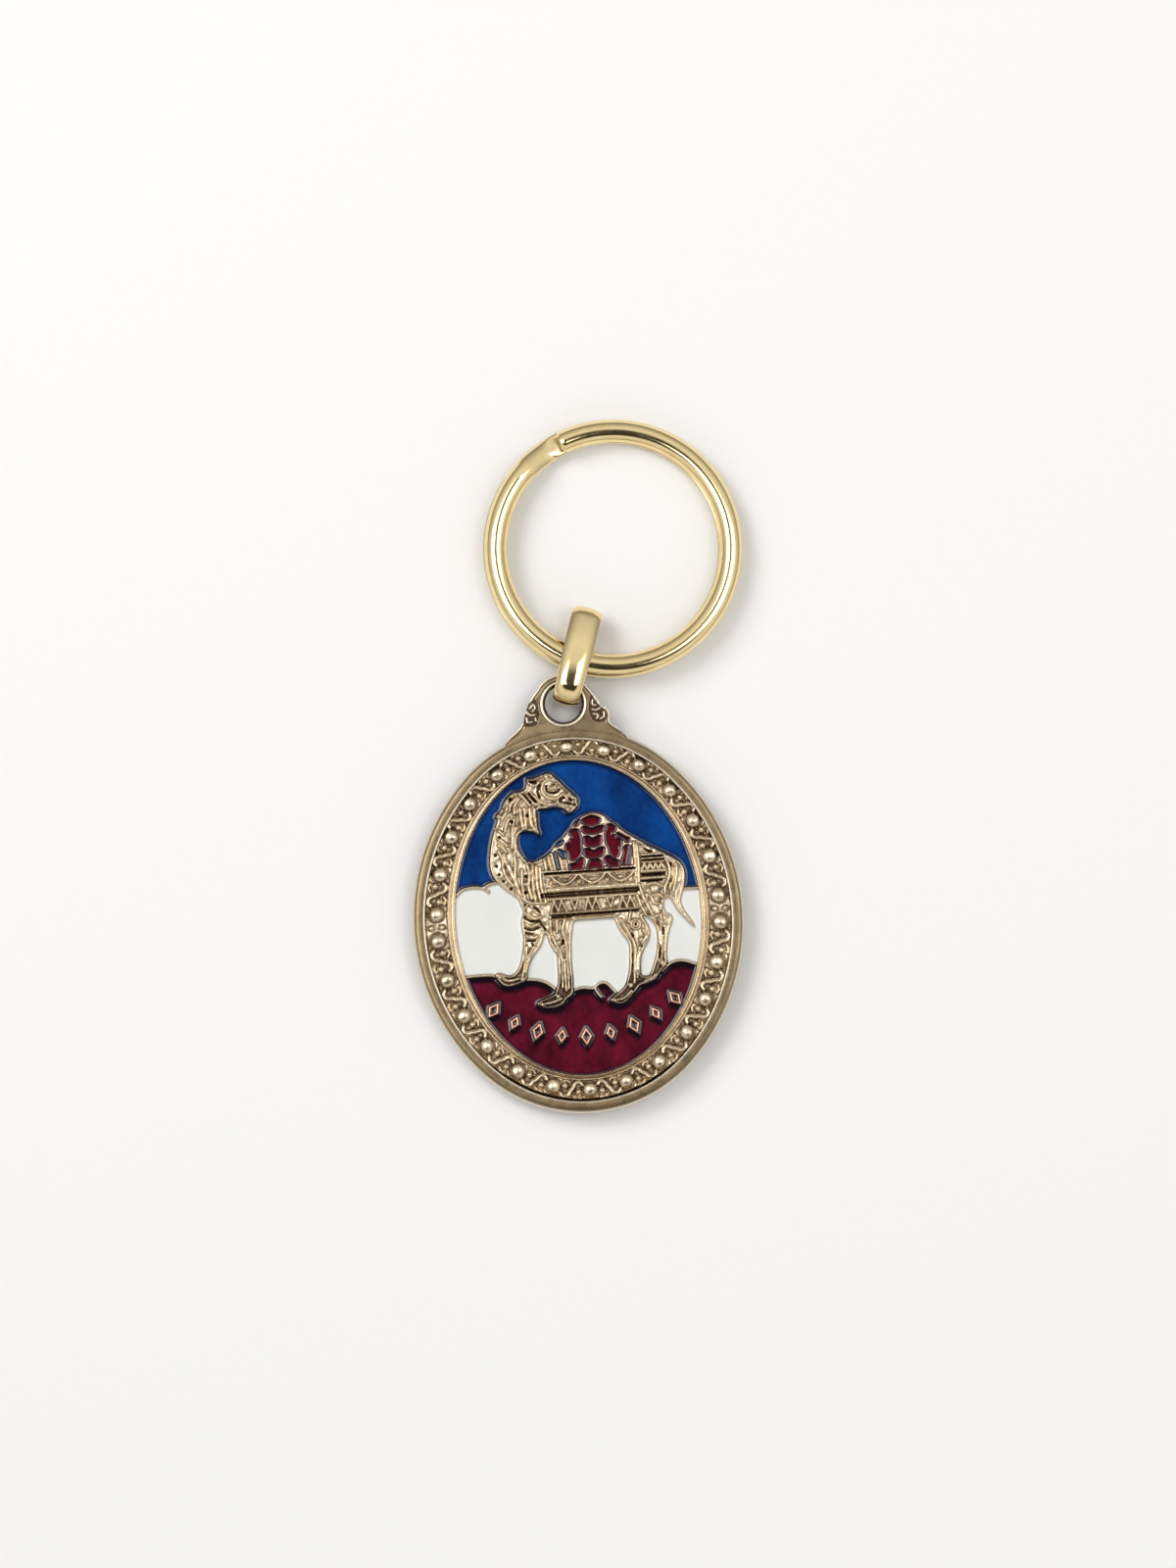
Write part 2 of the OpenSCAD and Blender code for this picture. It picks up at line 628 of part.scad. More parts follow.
module climbing_wire() {
    lap = 1.5;
    rise = (wire_r + slit / 2) / 2;
    slope = asin(rise / (ring_rm * sin(climb / 2)));
    rotate(end_angle + climb / 2)
        rotate([slope, 0, 0])
            rotate_extrude(angle = climb + 2 * lap, start = -climb / 2 - lap, $fn = 144)
                translate([ring_rm, 0])
                    intersection() {
                        circle(r = wire_r, $fn = 48);
                        translate([-2, -0.6])
                            square([4, 1.2]);
                    }
}

module split_ring() {
    color(bright)
        translate([ring_xy[0], ring_xy[1], ring_z])
            rotate(a = ring_tilt, v = [-ring_dir[1], ring_dir[0], 0]) {
                turn(true);
                turn(false);
                climbing_wire();
            }
}

medal_casting();
sky_enamel();
left_cloud_enamel();
foreleg_cloud_enamel();
belly_cloud_enamel();
hind_leg_cloud_enamel();
right_cloud_enamel();
ground_enamel();
saddle_crown_cell();
saddle_upper_cell();
saddle_middle_cell();
saddle_lower_cell();
saddle_base_cell();
saddle_left_tip_cell();
saddle_left_cell();
saddle_left_base_cell();
saddle_right_cell();
saddle_right_tip_cell();
saddle_right_edge_cell();
saddle_right_base_cell();
saddle_right_sliver_cell();
blanket_upper_cell();
blanket_lower_cell();
blanket_sliver_cell();
connecting_link();
split_ring();
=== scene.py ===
import json
import math

import bpy
import numpy as np
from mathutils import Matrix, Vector
from mathutils.geometry import tessellate_polygon


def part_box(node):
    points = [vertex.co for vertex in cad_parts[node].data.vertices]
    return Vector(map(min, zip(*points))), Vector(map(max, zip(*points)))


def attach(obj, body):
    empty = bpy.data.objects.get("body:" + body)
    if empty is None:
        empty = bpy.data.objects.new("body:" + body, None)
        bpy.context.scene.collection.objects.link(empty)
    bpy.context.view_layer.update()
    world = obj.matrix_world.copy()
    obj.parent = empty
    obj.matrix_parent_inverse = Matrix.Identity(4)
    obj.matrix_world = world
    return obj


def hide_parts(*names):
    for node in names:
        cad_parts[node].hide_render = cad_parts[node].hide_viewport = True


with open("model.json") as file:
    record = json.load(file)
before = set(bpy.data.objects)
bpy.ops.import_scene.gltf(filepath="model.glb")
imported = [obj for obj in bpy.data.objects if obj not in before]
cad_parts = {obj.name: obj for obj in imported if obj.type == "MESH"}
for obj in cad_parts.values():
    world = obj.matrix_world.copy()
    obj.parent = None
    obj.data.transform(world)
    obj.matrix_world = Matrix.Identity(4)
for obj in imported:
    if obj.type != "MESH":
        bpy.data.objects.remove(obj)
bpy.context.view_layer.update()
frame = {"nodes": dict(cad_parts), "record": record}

# Shapes are worked out in millimetres, in the frame of the CAD, and scaled once when a mesh is made.
MM = 0.001
COARSE = 1.0

# ---- sizes of the cast medal ---------------------------------------------------------
HALF_W = 19.2
HALF_H = 22.4
# The oval is four arcs, which meet where its edge faces 45 degrees.
RIM_ARC_SHIFT = (HALF_H - HALF_W) * (2 + math.sqrt(2)) / 2
RIM_END_R = HALF_H - RIM_ARC_SHIFT
RIM_SIDE_R = HALF_W + RIM_ARC_SHIFT
POCKET_Z = 1.5
RELIEF_FOOT = 1.52
# Ovals inside the rim: half width, half height and the height of the middle.
CHANNEL = (17.8, 21.0, 0.2)
RIDGE = (15.2, 18.85, 0.3)
FIELD = (14.25, 18.3, 0.3)
HOLE_Y = 25.15
HOLE_R = 2.12
EYE_R = 3.45
LUG_TOP = 2.9
LUG_FOOT = 1.6

# ---- sizes of the link and the ring --------------------------------------------------
LINK_OUT = 2.75
LINK_LEN = 11.7
LINK_SLOPE = 24
LINK_T = 0.8
# Half the strip's width at the lug, and what it gains towards the ring.
LINK_HALF = 1.55
LINK_GAIN = 0.17
RING_R = 13.65
WIRE_R = 1.35
HALF_SLIT = 0.05


# ---- curves and grids ----------------------------------------------------------------
def curve(points, steps=5, closed=False):
    """A smooth line through given points."""
    p = np.asarray(points, float)
    q = np.vstack([p[-1:], p, p[:2]]) if closed else np.vstack([p[:1], p, p[-1:]])
    t = np.linspace(0, 1, steps, endpoint=False)[:, None]
    spans = [
        0.5 * (2 * b + (c - a) * t + (2 * a - 5 * b + 4 * c - d) * t**2 + (3 * b - a - 3 * c + d) * t**3)
        for a, b, c, d in zip(q, q[1:], q[2:], q[3:])
    ]
    line = np.vstack(spans)
    return line if closed else np.vstack([line, p[-1:]])


def ease(x, low, high):
    """0 below low, 1 above high, smooth between."""
    t = np.clip((x - low) / (high - low), 0, 1)
    return t * t * (3 - 2 * t)


def hump(x, reach):
    """1 where x is 0, falling round to 0 at this reach either way."""
    return np.clip(1 - (x / reach) ** 2, 0, 1)


def blur(field, cells):
    """A box blur, done twice."""
    for _ in range(2):
        for axis in (0, 1):
            pad = [(0, 0), (0, 0)]
            pad[axis] = (cells + 1, cells)
            total = np.cumsum(np.pad(field, pad, mode="edge"), axis=axis)
            width = 2 * cells + 1
            if axis == 0:
                field = (total[width:] - total[:-width]) / width
            else:
                field = (total[:, width:] - total[:, :-width]) / width
    return field


def ripple(x, y, seed, size):
    """Smooth random waves between -1 and 1, for a hand-cut look."""
    rng = np.random.default_rng(seed)
    total = np.zeros(np.shape(x))
    for _ in range(9):
        angle, phase = rng.uniform(0, 2 * math.pi, 2)
        k = 2 * math.pi / (size * rng.uniform(0.6, 1.7))
        total += np.sin(k * (x * math.cos(angle) + y * math.sin(angle)) + phase)
    return total / 4.5


class Patch:
    """A square grid over a box, which measures distances to lines drawn on it."""

    def __init__(self, low, high, step):
        self.step = step * COARSE
        self.low = np.array(low, float)
        count = np.ceil((np.array(high) - self.low) / self.step).astype(int) + 1
        xs = self.low[0] + self.step * np.arange(count[0])
        ys = self.low[1] + self.step * np.arange(count[1])
        self.X, self.Y = np.meshgrid(xs, ys)

    def window(self, p, q, reach):
        low = (np.minimum(p, q) - reach - self.low) / self.step
        high = (np.maximum(p, q) + reach - self.low) / self.step
        i, j = np.maximum(np.floor(low).astype(int), 0)
        k, m = np.maximum(np.ceil(high).astype(int) + 1, 0)
        return slice(j, m), slice(i, k)

    def near(self, lines, reach, closed=False):
        """Distance to the nearest of these lines, no more than reach."""
        out = np.full(self.X.shape, float(reach))
        for line in lines:
            line = np.asarray(line, float).reshape(-1, 2)
            ends = np.roll(line, -1, axis=0) if closed else line[1:]
            if len(line) == 1:
                ends = line
            for p, q in zip(line, ends):
                part = self.window(p, q, reach)
                x, y = self.X[part], self.Y[part]
                run = q - p
                t = np.clip(((x - p[0]) * run[0] + (y - p[1]) * run[1]) / max(run @ run, 1e-12), 0, 1)
                d = np.hypot(x - p[0] - t * run[0], y - p[1] - t * run[1])
                out[part] = np.minimum(out[part], d)
        return out

    def inside(self, loops):
        """True within the loops, with loops inside loops as holes."""
        flips = np.zeros((self.X.shape[0], self.X.shape[1] + 1), int)
        rows = self.Y[:, 0]
        for loop in loops:
            for p, q in zip(loop, np.roll(loop, -1, axis=0)):
                if p[1] == q[1]:
                    continue
                hit = np.nonzero((rows >= min(p[1], q[1])) & (rows < max(p[1], q[1])))[0]
                x = p[0] + (rows[hit] - p[1]) * (q[0] - p[0]) / (q[1] - p[1])
                column = np.clip(np.ceil((x - self.low[0]) / self.step), 0, self.X.shape[1]).astype(int)
                np.add.at(flips, (hit, column), 1)
        return np.cumsum(flips, axis=1)[:, :-1] % 2 == 1

    def signed(self, loops, reach):
        """Distance in from the loops' edge, negative outside."""
        d = self.near(loops, reach, closed=True)
        return np.where(self.inside(loops), d, -d)

    def stroke(self, lines, half_width, height):
        """Round-topped strokes along these lines."""
        d = self.near(lines, half_width) / half_width
        return height * (1 - d * d)

    def trench(self, lines, half_width, depth, bank=0.12):
        """Flat-bottomed strokes along these lines."""
        return depth * (1 - ease(self.near(lines, half_width), half_width - bank, half_width))


def solid(patch, signed, height, foot):
    """The closed solid under a height field, with its edge where signed is 0 and a flat foot."""
    corner_sum = signed[:-1, :-1] + signed[1:, :-1] + signed[:-1, 1:] + signed[1:, 1:]
    keep = corner_sum > 0
    keep[0], keep[-1], keep[:, 0], keep[:, -1] = False, False, False, False
    for _ in range(3):
        a, b, c, d = keep[:-1, :-1], keep[1:, 1:], keep[1:, :-1], keep[:-1, 1:]
        cross = (a & b & ~c & ~d) | (~a & ~b & c & d)
        for part in (a, b, c, d):
            part[cross] = False
    around = np.zeros(signed.shape, int)
    for j in (0, 1):
        for i in (0, 1):
            around[j : j + keep.shape[0], i : i + keep.shape[1]] += keep
    gy, gx = np.gradient(signed, patch.step)
    slope = np.hypot(gx, gy) + 1e-9
    move = np.where((around > 0) & (around < 4), np.clip(signed, -patch.step, patch.step), 0)
    x, y = patch.X - move * gx / slope, patch.Y - move * gy / slope
    index = np.full(signed.shape, -1)
    index[around > 0] = np.arange((around > 0).sum())
    top = np.stack([x, y, height], axis=-1)[around > 0]
    j, i = np.nonzero(keep)
    quads = np.stack([index[j, i], index[j, i + 1], index[j + 1, i + 1], index[j + 1, i]], axis=1)
    edges = []
    sides = {(-1, 0): (0, 1), (0, 1): (1, 2), (1, 0): (2, 3), (0, -1): (3, 0)}
    for (dj, di), (start, end) in sides.items():
        bare = ~keep[j + dj, i + di]
        edges.append(quads[bare][:, [start, end]])
    edges = np.vstack(edges)
    lower = {v: len(top) + n for n, v in enumerate(edges[:, 0])}
    floor = top[edges[:, 0]] * [1, 1, 0] + [0, 0, foot]
    walls = [[b, a, lower[a], lower[b]] for a, b in edges.tolist()]
    follow = dict(edges.tolist())
    loops = []
    while follow:
        start = next(iter(follow))
        loop, v = [], start
        while v in follow:
            loop.append(v)
            v = follow.pop(v)
        loops.append(loop)
    flat = [[Vector((*top[v][:2], 0)) for v in loop] for loop in loops]
    order = [lower[v] for loop in loops for v in loop]
    points = np.vstack([top, floor])
    base = []
    for a, b, c in tessellate_polygon(flat):
        a, b, c = order[a], order[b], order[c]
        turn = np.cross(points[b][:2] - points[a][:2], points[c][:2] - points[a][:2])
        base.append([a, b, c] if turn < 0 else [a, c, b])
    shown = np.concatenate([np.flatnonzero((around > 0).ravel()), np.full(len(floor), -1)])
    return points, quads.tolist() + walls + base, shown


def sample(field, shown, at_foot):
    """A patch's field at a solid's points."""
    return np.where(shown >= 0, np.ravel(field)[shown], at_foot)


def swept(rows, close_rows=True, close_ends=True):
    """Points and faces of a sheet of rows of points, joined round both ways unless told otherwise."""
    rows = np.asarray(rows, float)
    n, m = rows.shape[:2]
    ids = np.arange(n * m).reshape(n, m)
    nxt = np.roll(ids, -1, axis=0)
    a = np.stack([ids, np.roll(ids, -1, axis=1), np.roll(nxt, -1, axis=1), nxt], axis=-1)
    if not close_ends:
        a = a[:-1]
    if not close_rows:
        a = a[:, :-1]
    return rows.reshape(-1, 3), a.reshape(-1, 4).tolist()


def node_loops(node, z):
    """The outlines of a CAD node's level faces at height z, in millimetres."""
    mesh = frame["nodes"][node].data
    mesh.calc_loop_triangles()
    co = np.empty(3 * len(mesh.vertices))
    mesh.vertices.foreach_get("co", co)
    co = co.reshape(-1, 3) / MM
    tri = np.empty(3 * len(mesh.loop_triangles), int)
    mesh.loop_triangles.foreach_get("vertices", tri)
    tri = tri.reshape(-1, 3)
    tri = tri[(np.abs(co[tri][:, :, 2] - z) < 0.004).all(axis=1)]
    places, same = np.unique(np.round(co[:, :2], 4), axis=0, return_inverse=True)
    tri = same.reshape(-1)[tri]
    edges = {(t[k], t[(k + 1) % 3]) for t in tri.tolist() for k in range(3) if t[k] != t[(k + 1) % 3]}
    follow = {}
    for a, b in sorted(edges):
        if (b, a) not in edges:
            follow.setdefault(a, []).append(b)
    loops = []
    while follow:
        start = min(follow)
        loop, v = [], start
        while v in follow:
            loop.append(v)
            step = follow[v].pop()
            if not follow[v]:
                del follow[v]
            v = step
        loops.append(places[loop])
    return [loop for loop in loops if len(loop) > 2]


# ---- materials -----------------------------------------------------------------------
def fill_ramp(ramp, stops):
    """Put these (place, colour) stops on a colour ramp."""
    for n, (at, colour) in enumerate(stops):
        stop = ramp.elements[n] if n < 2 else ramp.elements.new(at)
        stop.position = at
        stop.color = (*colour, 1)


class Shader:
    """A node material, built up by short calls."""

    def __init__(self, name):
        self.material = bpy.data.materials.new(name)
        self.material.use_nodes = True
        self.tree = self.material.node_tree
        self.bsdf = self.tree.nodes["Principled BSDF"]

    def node(self, kind, inputs=(), **settings):
        made = self.tree.nodes.new("ShaderNode" + kind)
        for key, value in settings.items():
            setattr(made, key, value)
        for key, value in dict(inputs).items():
            if isinstance(value, bpy.types.NodeSocket):
                self.tree.links.new(value, made.inputs[key])
            else:
                made.inputs[key].default_value = value
        return made

    def place(self):
        return self.node("TexCoord").outputs["Object"]

    def noise(self, size_mm, detail=3.0, stretch=None, seed=0.0):
        where = self.place()
        if stretch:
            where = self.node("Mapping", {"Vector": where, "Scale": stretch}).outputs["Vector"]
        scale = 1 / (size_mm * MM)
        made = self.node("TexNoise", {"Vector": where, "Scale": scale, "Detail": detail, "W": seed},
                         noise_dimensions="4D")
        return made.outputs["Fac"]

    def attribute(self, name):
        return self.node("Attribute", attribute_name=name).outputs["Fac"]

    def ramp(self, fac, *stops):
        made = self.node("ValToRGB", {"Fac": fac})
        fill_ramp(made.color_ramp, stops)
        return made.outputs["Color"]

    def spread(self, fac, low, high, to_low, to_high):
        made = self.node("MapRange", {"Value": fac, "From Min": low, "From Max": high,
                                      "To Min": to_low, "To Max": to_high})
        return made.outputs["Result"]

    def maths(self, operation, a, b):
        made = self.node("Math", operation=operation)
        for socket, value in zip(made.inputs, (a, b)):
            if isinstance(value, bpy.types.NodeSocket):
                self.tree.links.new(value, socket)
            else:
                socket.default_value = value
        return made.outputs["Value"]

    def mix(self, fac, a, b):
        made = self.node("Mix", data_type="RGBA", blend_type="MIX")
        for key, value in ((0, fac), (6, a), (7, b)):
            if isinstance(value, bpy.types.NodeSocket):
                self.tree.links.new(value, made.inputs[key])
            elif key == 0:
                made.inputs[key].default_value = value
            else:
                made.inputs[key].default_value = (*value, 1)
        return made.outputs[2]

    def bump(self, height, depth_mm, strength=1.0):
        made = self.node("Bump", {"Height": height, "Distance": depth_mm * MM, "Strength": strength})
        self.tree.links.new(made.outputs["Normal"], self.bsdf.inputs["Normal"])

    def set(self, **sockets):
        for key, value in sockets.items():
            socket = self.bsdf.inputs[key.replace("_", " ").title().replace("Ior", "IOR")]
            if isinstance(value, bpy.types.NodeSocket):
                self.tree.links.new(value, socket)
            else:
                socket.default_value = value
        return self


PATINA = (0.085, 0.052, 0.034)
# Pale metal colour, used for real wear and as a painted highlight.
PALE_WEAR_AND_HIGHLIGHT = (0.88, 0.79, 0.64)
# Pink tint, a painted reflection of the red enamel, laid on metal beside the red cells.
RED_REFLECTION_TINT = (0.66, 0.43, 0.33)


def cast_bronze(name, crown, shade, brushed):
    """Gilt casting: pale on edges and crests, partly real wear and partly painted highlight; pink near the
    red enamel as a painted reflection of it; dark patina in its recesses.
    """
    s = Shader(name)
    grain = s.noise(0.9 if brushed else 0.45, 3)
    cloud = s.noise(2.6, 3, seed=3.0)
    metal = s.mix(s.spread(cloud, 0.35, 0.65, 0, 1), shade, crown)
    # Painted highlight, partly real wear: pale metal on the rim's edges and the lug's crests.
    metal = s.mix(s.attribute("worn"), metal, PALE_WEAR_AND_HIGHLIGHT)
    # Painted reflection of the red enamel: the metal turns pink where this attribute is set.
    metal = s.mix(s.attribute("rosy"), metal, RED_REFLECTION_TINT)
    height = s.maths("ADD", s.attribute("cavity"), s.spread(grain, 0.3, 0.7, -0.04, 0.04))
    patina = s.ramp(height, (0.08, (0, 0, 0)), (0.5, (1, 1, 1)))
    colour = s.mix(patina, PATINA, metal)
    rough = s.spread(grain, 0.3, 0.7, 0.24, 0.34)
    if brushed:
        s.bump(s.noise(0.09, 2, stretch=(0.05, 1, 1)), 0.002, 0.3)
    else:
        s.bump(s.maths("ADD", grain, s.noise(0.16, 2)), 0.004, 0.5)
    s.set(base_color=colour, metallic=1.0, roughness=rough)
    return s.material


def gold_plate():
    """Bright gilt wire and strip: nearly a mirror, with fine rubbing marks."""
    s = Shader("bright_gold_plate")
    haze = s.noise(1.4, 4)
    marks = s.noise(0.05, 2, stretch=(1, 0.06, 1))
    colour = s.mix(s.spread(haze, 0.35, 0.7, 0, 1), (0.93, 0.76, 0.42), (0.88, 0.69, 0.35))
    s.bump(s.maths("ADD", marks, haze), 0.004, 0.35)
    s.set(base_color=colour, metallic=1.0, roughness=s.spread(haze, 0.3, 0.7, 0.07, 0.14))
    return s.material


def enamel(name, edge, body, glow, edge_mm, streak_mm, seed):
    """Fired glaze: darker near the walls round it, partly where it thickens against them and partly painted
    shade, faintly clouded, glossy.
    """
    s = Shader(name)
    cloud = s.noise(streak_mm, 4, stretch=(1, 0.6, 1), seed=seed)
    fine = s.noise(0.5, 4, seed=seed + 2)
    lit = s.maths("ADD", s.spread(cloud, 0.3, 0.72, 0, 1), s.spread(fine, 0.3, 0.7, -0.15, 0.15))
    inner = s.mix(lit, body, glow)
    # Painted shade: the glaze turns to the edge colour close to the walls.
    near = s.spread(s.attribute("edge"), 0.0, edge_mm, 0, 1)
    colour = s.mix(s.ramp(near, (0.0, (0, 0, 0)), (1.0, (1, 1, 1))), edge, inner)
    s.bump(s.noise(0.9, 3, seed=seed + 5), 0.01, 0.35)
    s.set(base_color=colour, roughness=s.spread(fine, 0.3, 0.7, 0.05, 0.12), ior=1.52)
    return s.material


def paper():
    """The pale sheet that the keychain lies on."""
    s = Shader("pale_floor")
    fibre = s.noise(0.8, 4)
    s.set(base_color=s.mix(fibre, (0.925, 0.925, 0.92), (0.945, 0.945, 0.94)), roughness=0.9)
    return s.material


CAST = cast_bronze("cast_bronze", (0.74, 0.615, 0.435), (0.60, 0.485, 0.34), False)
RIM_METAL = cast_bronze("cast_bronze_rim", (0.27, 0.200, 0.112), (0.21, 0.155, 0.086), True)
# The lozenges' metal, tinted pink as a painted reflection of the red enamel round them.
RED_REFLECTING_BRONZE = cast_bronze("cast_bronze_rosy", (0.82, 0.47, 0.33), (0.68, 0.37, 0.26), False)
GOLD = gold_plate()
# Each glaze's first colour is painted shade, laid close to the walls round it.
BLUE = enamel("blue_enamel", (0.001, 0.004, 0.022), (0.002, 0.026, 0.13), (0.004, 0.066, 0.30),
              0.6, 3.0, 1.0)
WHITE = enamel("white_enamel", (0.50, 0.48, 0.42), (0.82, 0.83, 0.80), (0.86, 0.87, 0.84),
               0.22, 4.0, 2.0)
RED = enamel("red_enamel", (0.008, 0.003, 0.007), (0.045, 0.003, 0.010), (0.16, 0.007, 0.025),
             0.45, 2.4, 3.0)
BLUE_CELL = enamel("blue_enamel_cell", (0.003, 0.008, 0.02), (0.008, 0.025, 0.06), (0.02, 0.06, 0.12),
                   0.14, 1.0, 4.0)
RED_CELL = enamel("red_enamel_cell", (0.010, 0.003, 0.007), (0.04, 0.003, 0.009), (0.15, 0.006, 0.014),
                  0.24, 1.2, 5.0)


# ---- pieces --------------------------------------------------------------------------
def add_piece(name, body, slot, material, points, faces, nodes, crease=38, **fields):
    """One visible piece, which rides on a body and stands for these CAD nodes."""
    mesh = bpy.data.meshes.new(name)
    mesh.from_pydata((np.asarray(points) * MM).tolist(), [], faces)
    mesh.materials.append(material)
    mesh.shade_smooth()
    mesh.set_sharp_from_angle(angle=math.radians(crease))
    for key, values in fields.items():
        layer = mesh.attributes.new(key, "FLOAT", "POINT")
        layer.data.foreach_set("value", np.ascontiguousarray(values, dtype=np.float32))
    obj = bpy.data.objects.new(name, mesh)
    bpy.context.scene.collection.objects.link(obj)
    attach(obj, body)
    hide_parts(*nodes)
    return obj


def cast_piece(name, points, faces, cavity, material=None, crease=38, **fields):
    return add_piece(name, "medal", "cast_bronze_gilt", material or CAST, points, faces,
                     ["medal_casting"], crease, cavity=cavity, **fields)


def cavity_of(height, step, reach=0.3, depth=0.22):
    """How proud a place stands of its surroundings: 0 in a recess, 1 on a crest."""
    cells = max(1, round(reach / (step * COARSE)))
    return np.clip(0.5 + (height - blur(height, cells)) / depth, 0, 1)


def on_rim(angle, inset):
    """A point this far in from the medal's outer edge, where the edge faces angle."""
    end = abs(math.sin(angle)) > math.sqrt(0.5)
    centre_y = math.copysign(RIM_ARC_SHIFT, math.sin(angle)) if end else 0.0
    centre_x = 0.0 if end else -math.copysign(RIM_ARC_SHIFT, math.cos(angle))
    r = (RIM_END_R if end else RIM_SIDE_R) - inset
    return centre_x + r * math.cos(angle), centre_y + r * math.sin(angle)


def inset_of(x, y):
    """How far in from the medal's outer edge a point lies."""
    end = RIM_END_R - np.hypot(x, np.abs(y) - RIM_ARC_SHIFT)
    side = RIM_SIDE_R - np.hypot(np.abs(x) + RIM_ARC_SHIFT, y)
    return np.where(np.abs(y) - RIM_ARC_SHIFT > np.abs(x), end, side)


def arc_profile(centre, radius, start, end, steps):
    """Points along an arc, from one direction to another in degrees."""
    return [(centre[0] + radius * math.cos(math.radians(a)), centre[1] + radius * math.sin(math.radians(a)))
            for a in np.linspace(start, end, steps)]


def medal_body():
    """Back, side wall and smooth rim band: (inset, height) swept round the oval."""
    side = arc_profile((0.45, 0.45), 0.45, 270, 180, 8)
    shoulder = arc_profile((0.55, 2.42), 0.55, 180, 108, 10)
    band = [(x, 2.965 + 0.035 * (1 - ((x - 0.86) / 0.5) ** 2)) for x in np.linspace(0.42, 1.28, 9)]
    lip = arc_profile((1.3, 2.84), 0.15, 80, 0, 6)
    wall = [(1.48, 2.6), (1.52, 2.2), (1.55, POCKET_Z), (4.0, POCKET_Z), (9.0, POCKET_Z), (13.0, POCKET_Z)]
    back = [(13.0, 0.0), (9.0, 0.0), (4.0, 0.0), (1.2, 0.0)]
    profile = back + side + shoulder + band + lip + wall
    count = int(720 / COARSE)
    rows = [[(*on_rim(a, inset), z) for inset, z in profile]
            for a in np.arange(count) * 2 * math.pi / count + 0.002]
    points, faces = swept(rows, close_rows=False)
    ring = np.arange(count) * len(profile)
    ends = [ring.tolist(), (ring + len(profile) - 1).tolist()[::-1]]
    caps = []
    for loop, z in zip(ends, (0.0, POCKET_Z)):
        middle = len(points)
        points = np.vstack([points, [0, 0, z]])
        caps += [[a, b, middle] for a, b in zip(loop, loop[1:] + loop[:1])]
    faces = [f[::-1] for f in faces] + [c[::-1] for c in caps]
    deep = np.array([1.0 if i < 1.42 else 0.25 for i, z in profile])
    deep = np.where([z < 1.0 for i, z in profile], 0.8, deep)
    cavity = np.concatenate([np.tile(deep, count), [0.8, 0.3]])
    # Painted highlight, partly real wear: a pale line on the outer shoulder and on the inner lip.
    insets = (0.0, 0.16, 0.3, 0.42, 1.2, 1.32, 1.43, 1.5)
    shine = (0.5, 1, 0.1, 0, 0, 0.75, 0.5, 0)
    wear_and_highlight_mask = [np.interp(i, insets, shine) * (z > 2) for i, z in profile]
    cast_piece("medal_rim_and_back", points, faces, cavity, RIM_METAL, crease=45,
               worn=np.concatenate([np.tile(wear_and_highlight_mask, count), [0, 0]]))


def ellipse(size, angle):
    a, b, middle = size
    return np.stack([a * np.cos(angle), middle + b * np.sin(angle)], axis=-1)


def field_ridge():
    """The fine reeded frame between the ornament and the enamel."""
    across = [(-0.12, 1.55), (-0.1, 2.2), (0.0, 2.42), (0.1, 2.5), (0.2, 2.5), (0.28, 2.42), (0.34, 2.34),
              (0.42, 2.36), (0.5, 2.5), (0.58, 2.57), (0.68, 2.58), (0.76, 2.5), (0.82, 2.4), (0.88, 2.46),
              (0.94, 2.46), (1.0, 2.38), (1.04, 2.2), (1.06, 1.55)]
    count = int(720 / COARSE)
    angle = np.arange(count) * 2 * math.pi / count
    outer, inner = ellipse(RIDGE, angle), ellipse(FIELD, angle)
    rows = [[(*(outer[n] + (inner[n] - outer[n]) * u), z) for u, z in across] for n in range(count)]
    points, faces = swept(rows)
    shade = np.array([np.clip((z - 2.3) / 0.2, 0.05, 1) for u, z in across])
    cast_piece("field_ridge", points, faces, np.tile(shade, count))


# Directions of the border's bosses, in one quarter, as the angle of the oval's parameter.
BOSS_ANGLES = (4.5, 18, 31.5, 45, 60, 75)
# The ornament between two bosses, as lines of (share of the gap, place across the band).
RIBBON = [[(0.22, 0.62), (0.3, 0.9), (0.41, 0.72), (0.47, 0.2),
           (0.53, -0.2), (0.59, -0.72), (0.7, -0.9), (0.78, -0.62)]]
CURLS = [[(0.25, -0.85), (0.36, -0.95), (0.44, -0.75)], [(0.75, 0.85), (0.64, 0.95), (0.56, 0.75)]]
KNOBS = [[(0.31, -0.3)], [(0.69, 0.3)]]
PITS = [[(0.24, 0.1)], [(0.76, -0.1)], [(0.4, -0.15)], [(0.6, 0.15)]]
STUDS = [[(0.5, 0.55)], [(0.5, -0.55)]]
# A gap narrower than this holds two studs instead of a ribbon.
NARROW_GAP = 3.2
BORDER_HALF = 1.27
BORDER_STEP = 0.058


def border_line():
    """The angles of the oval's parameter, and how far along the border each one lies."""
    angle = np.linspace(0, 2 * math.pi, 1441)
    middle = (ellipse(CHANNEL, angle) + ellipse(RIDGE, angle)) / 2
    length = np.concatenate([[0], np.cumsum(np.hypot(*np.diff(middle, axis=0).T))])
    return angle, length


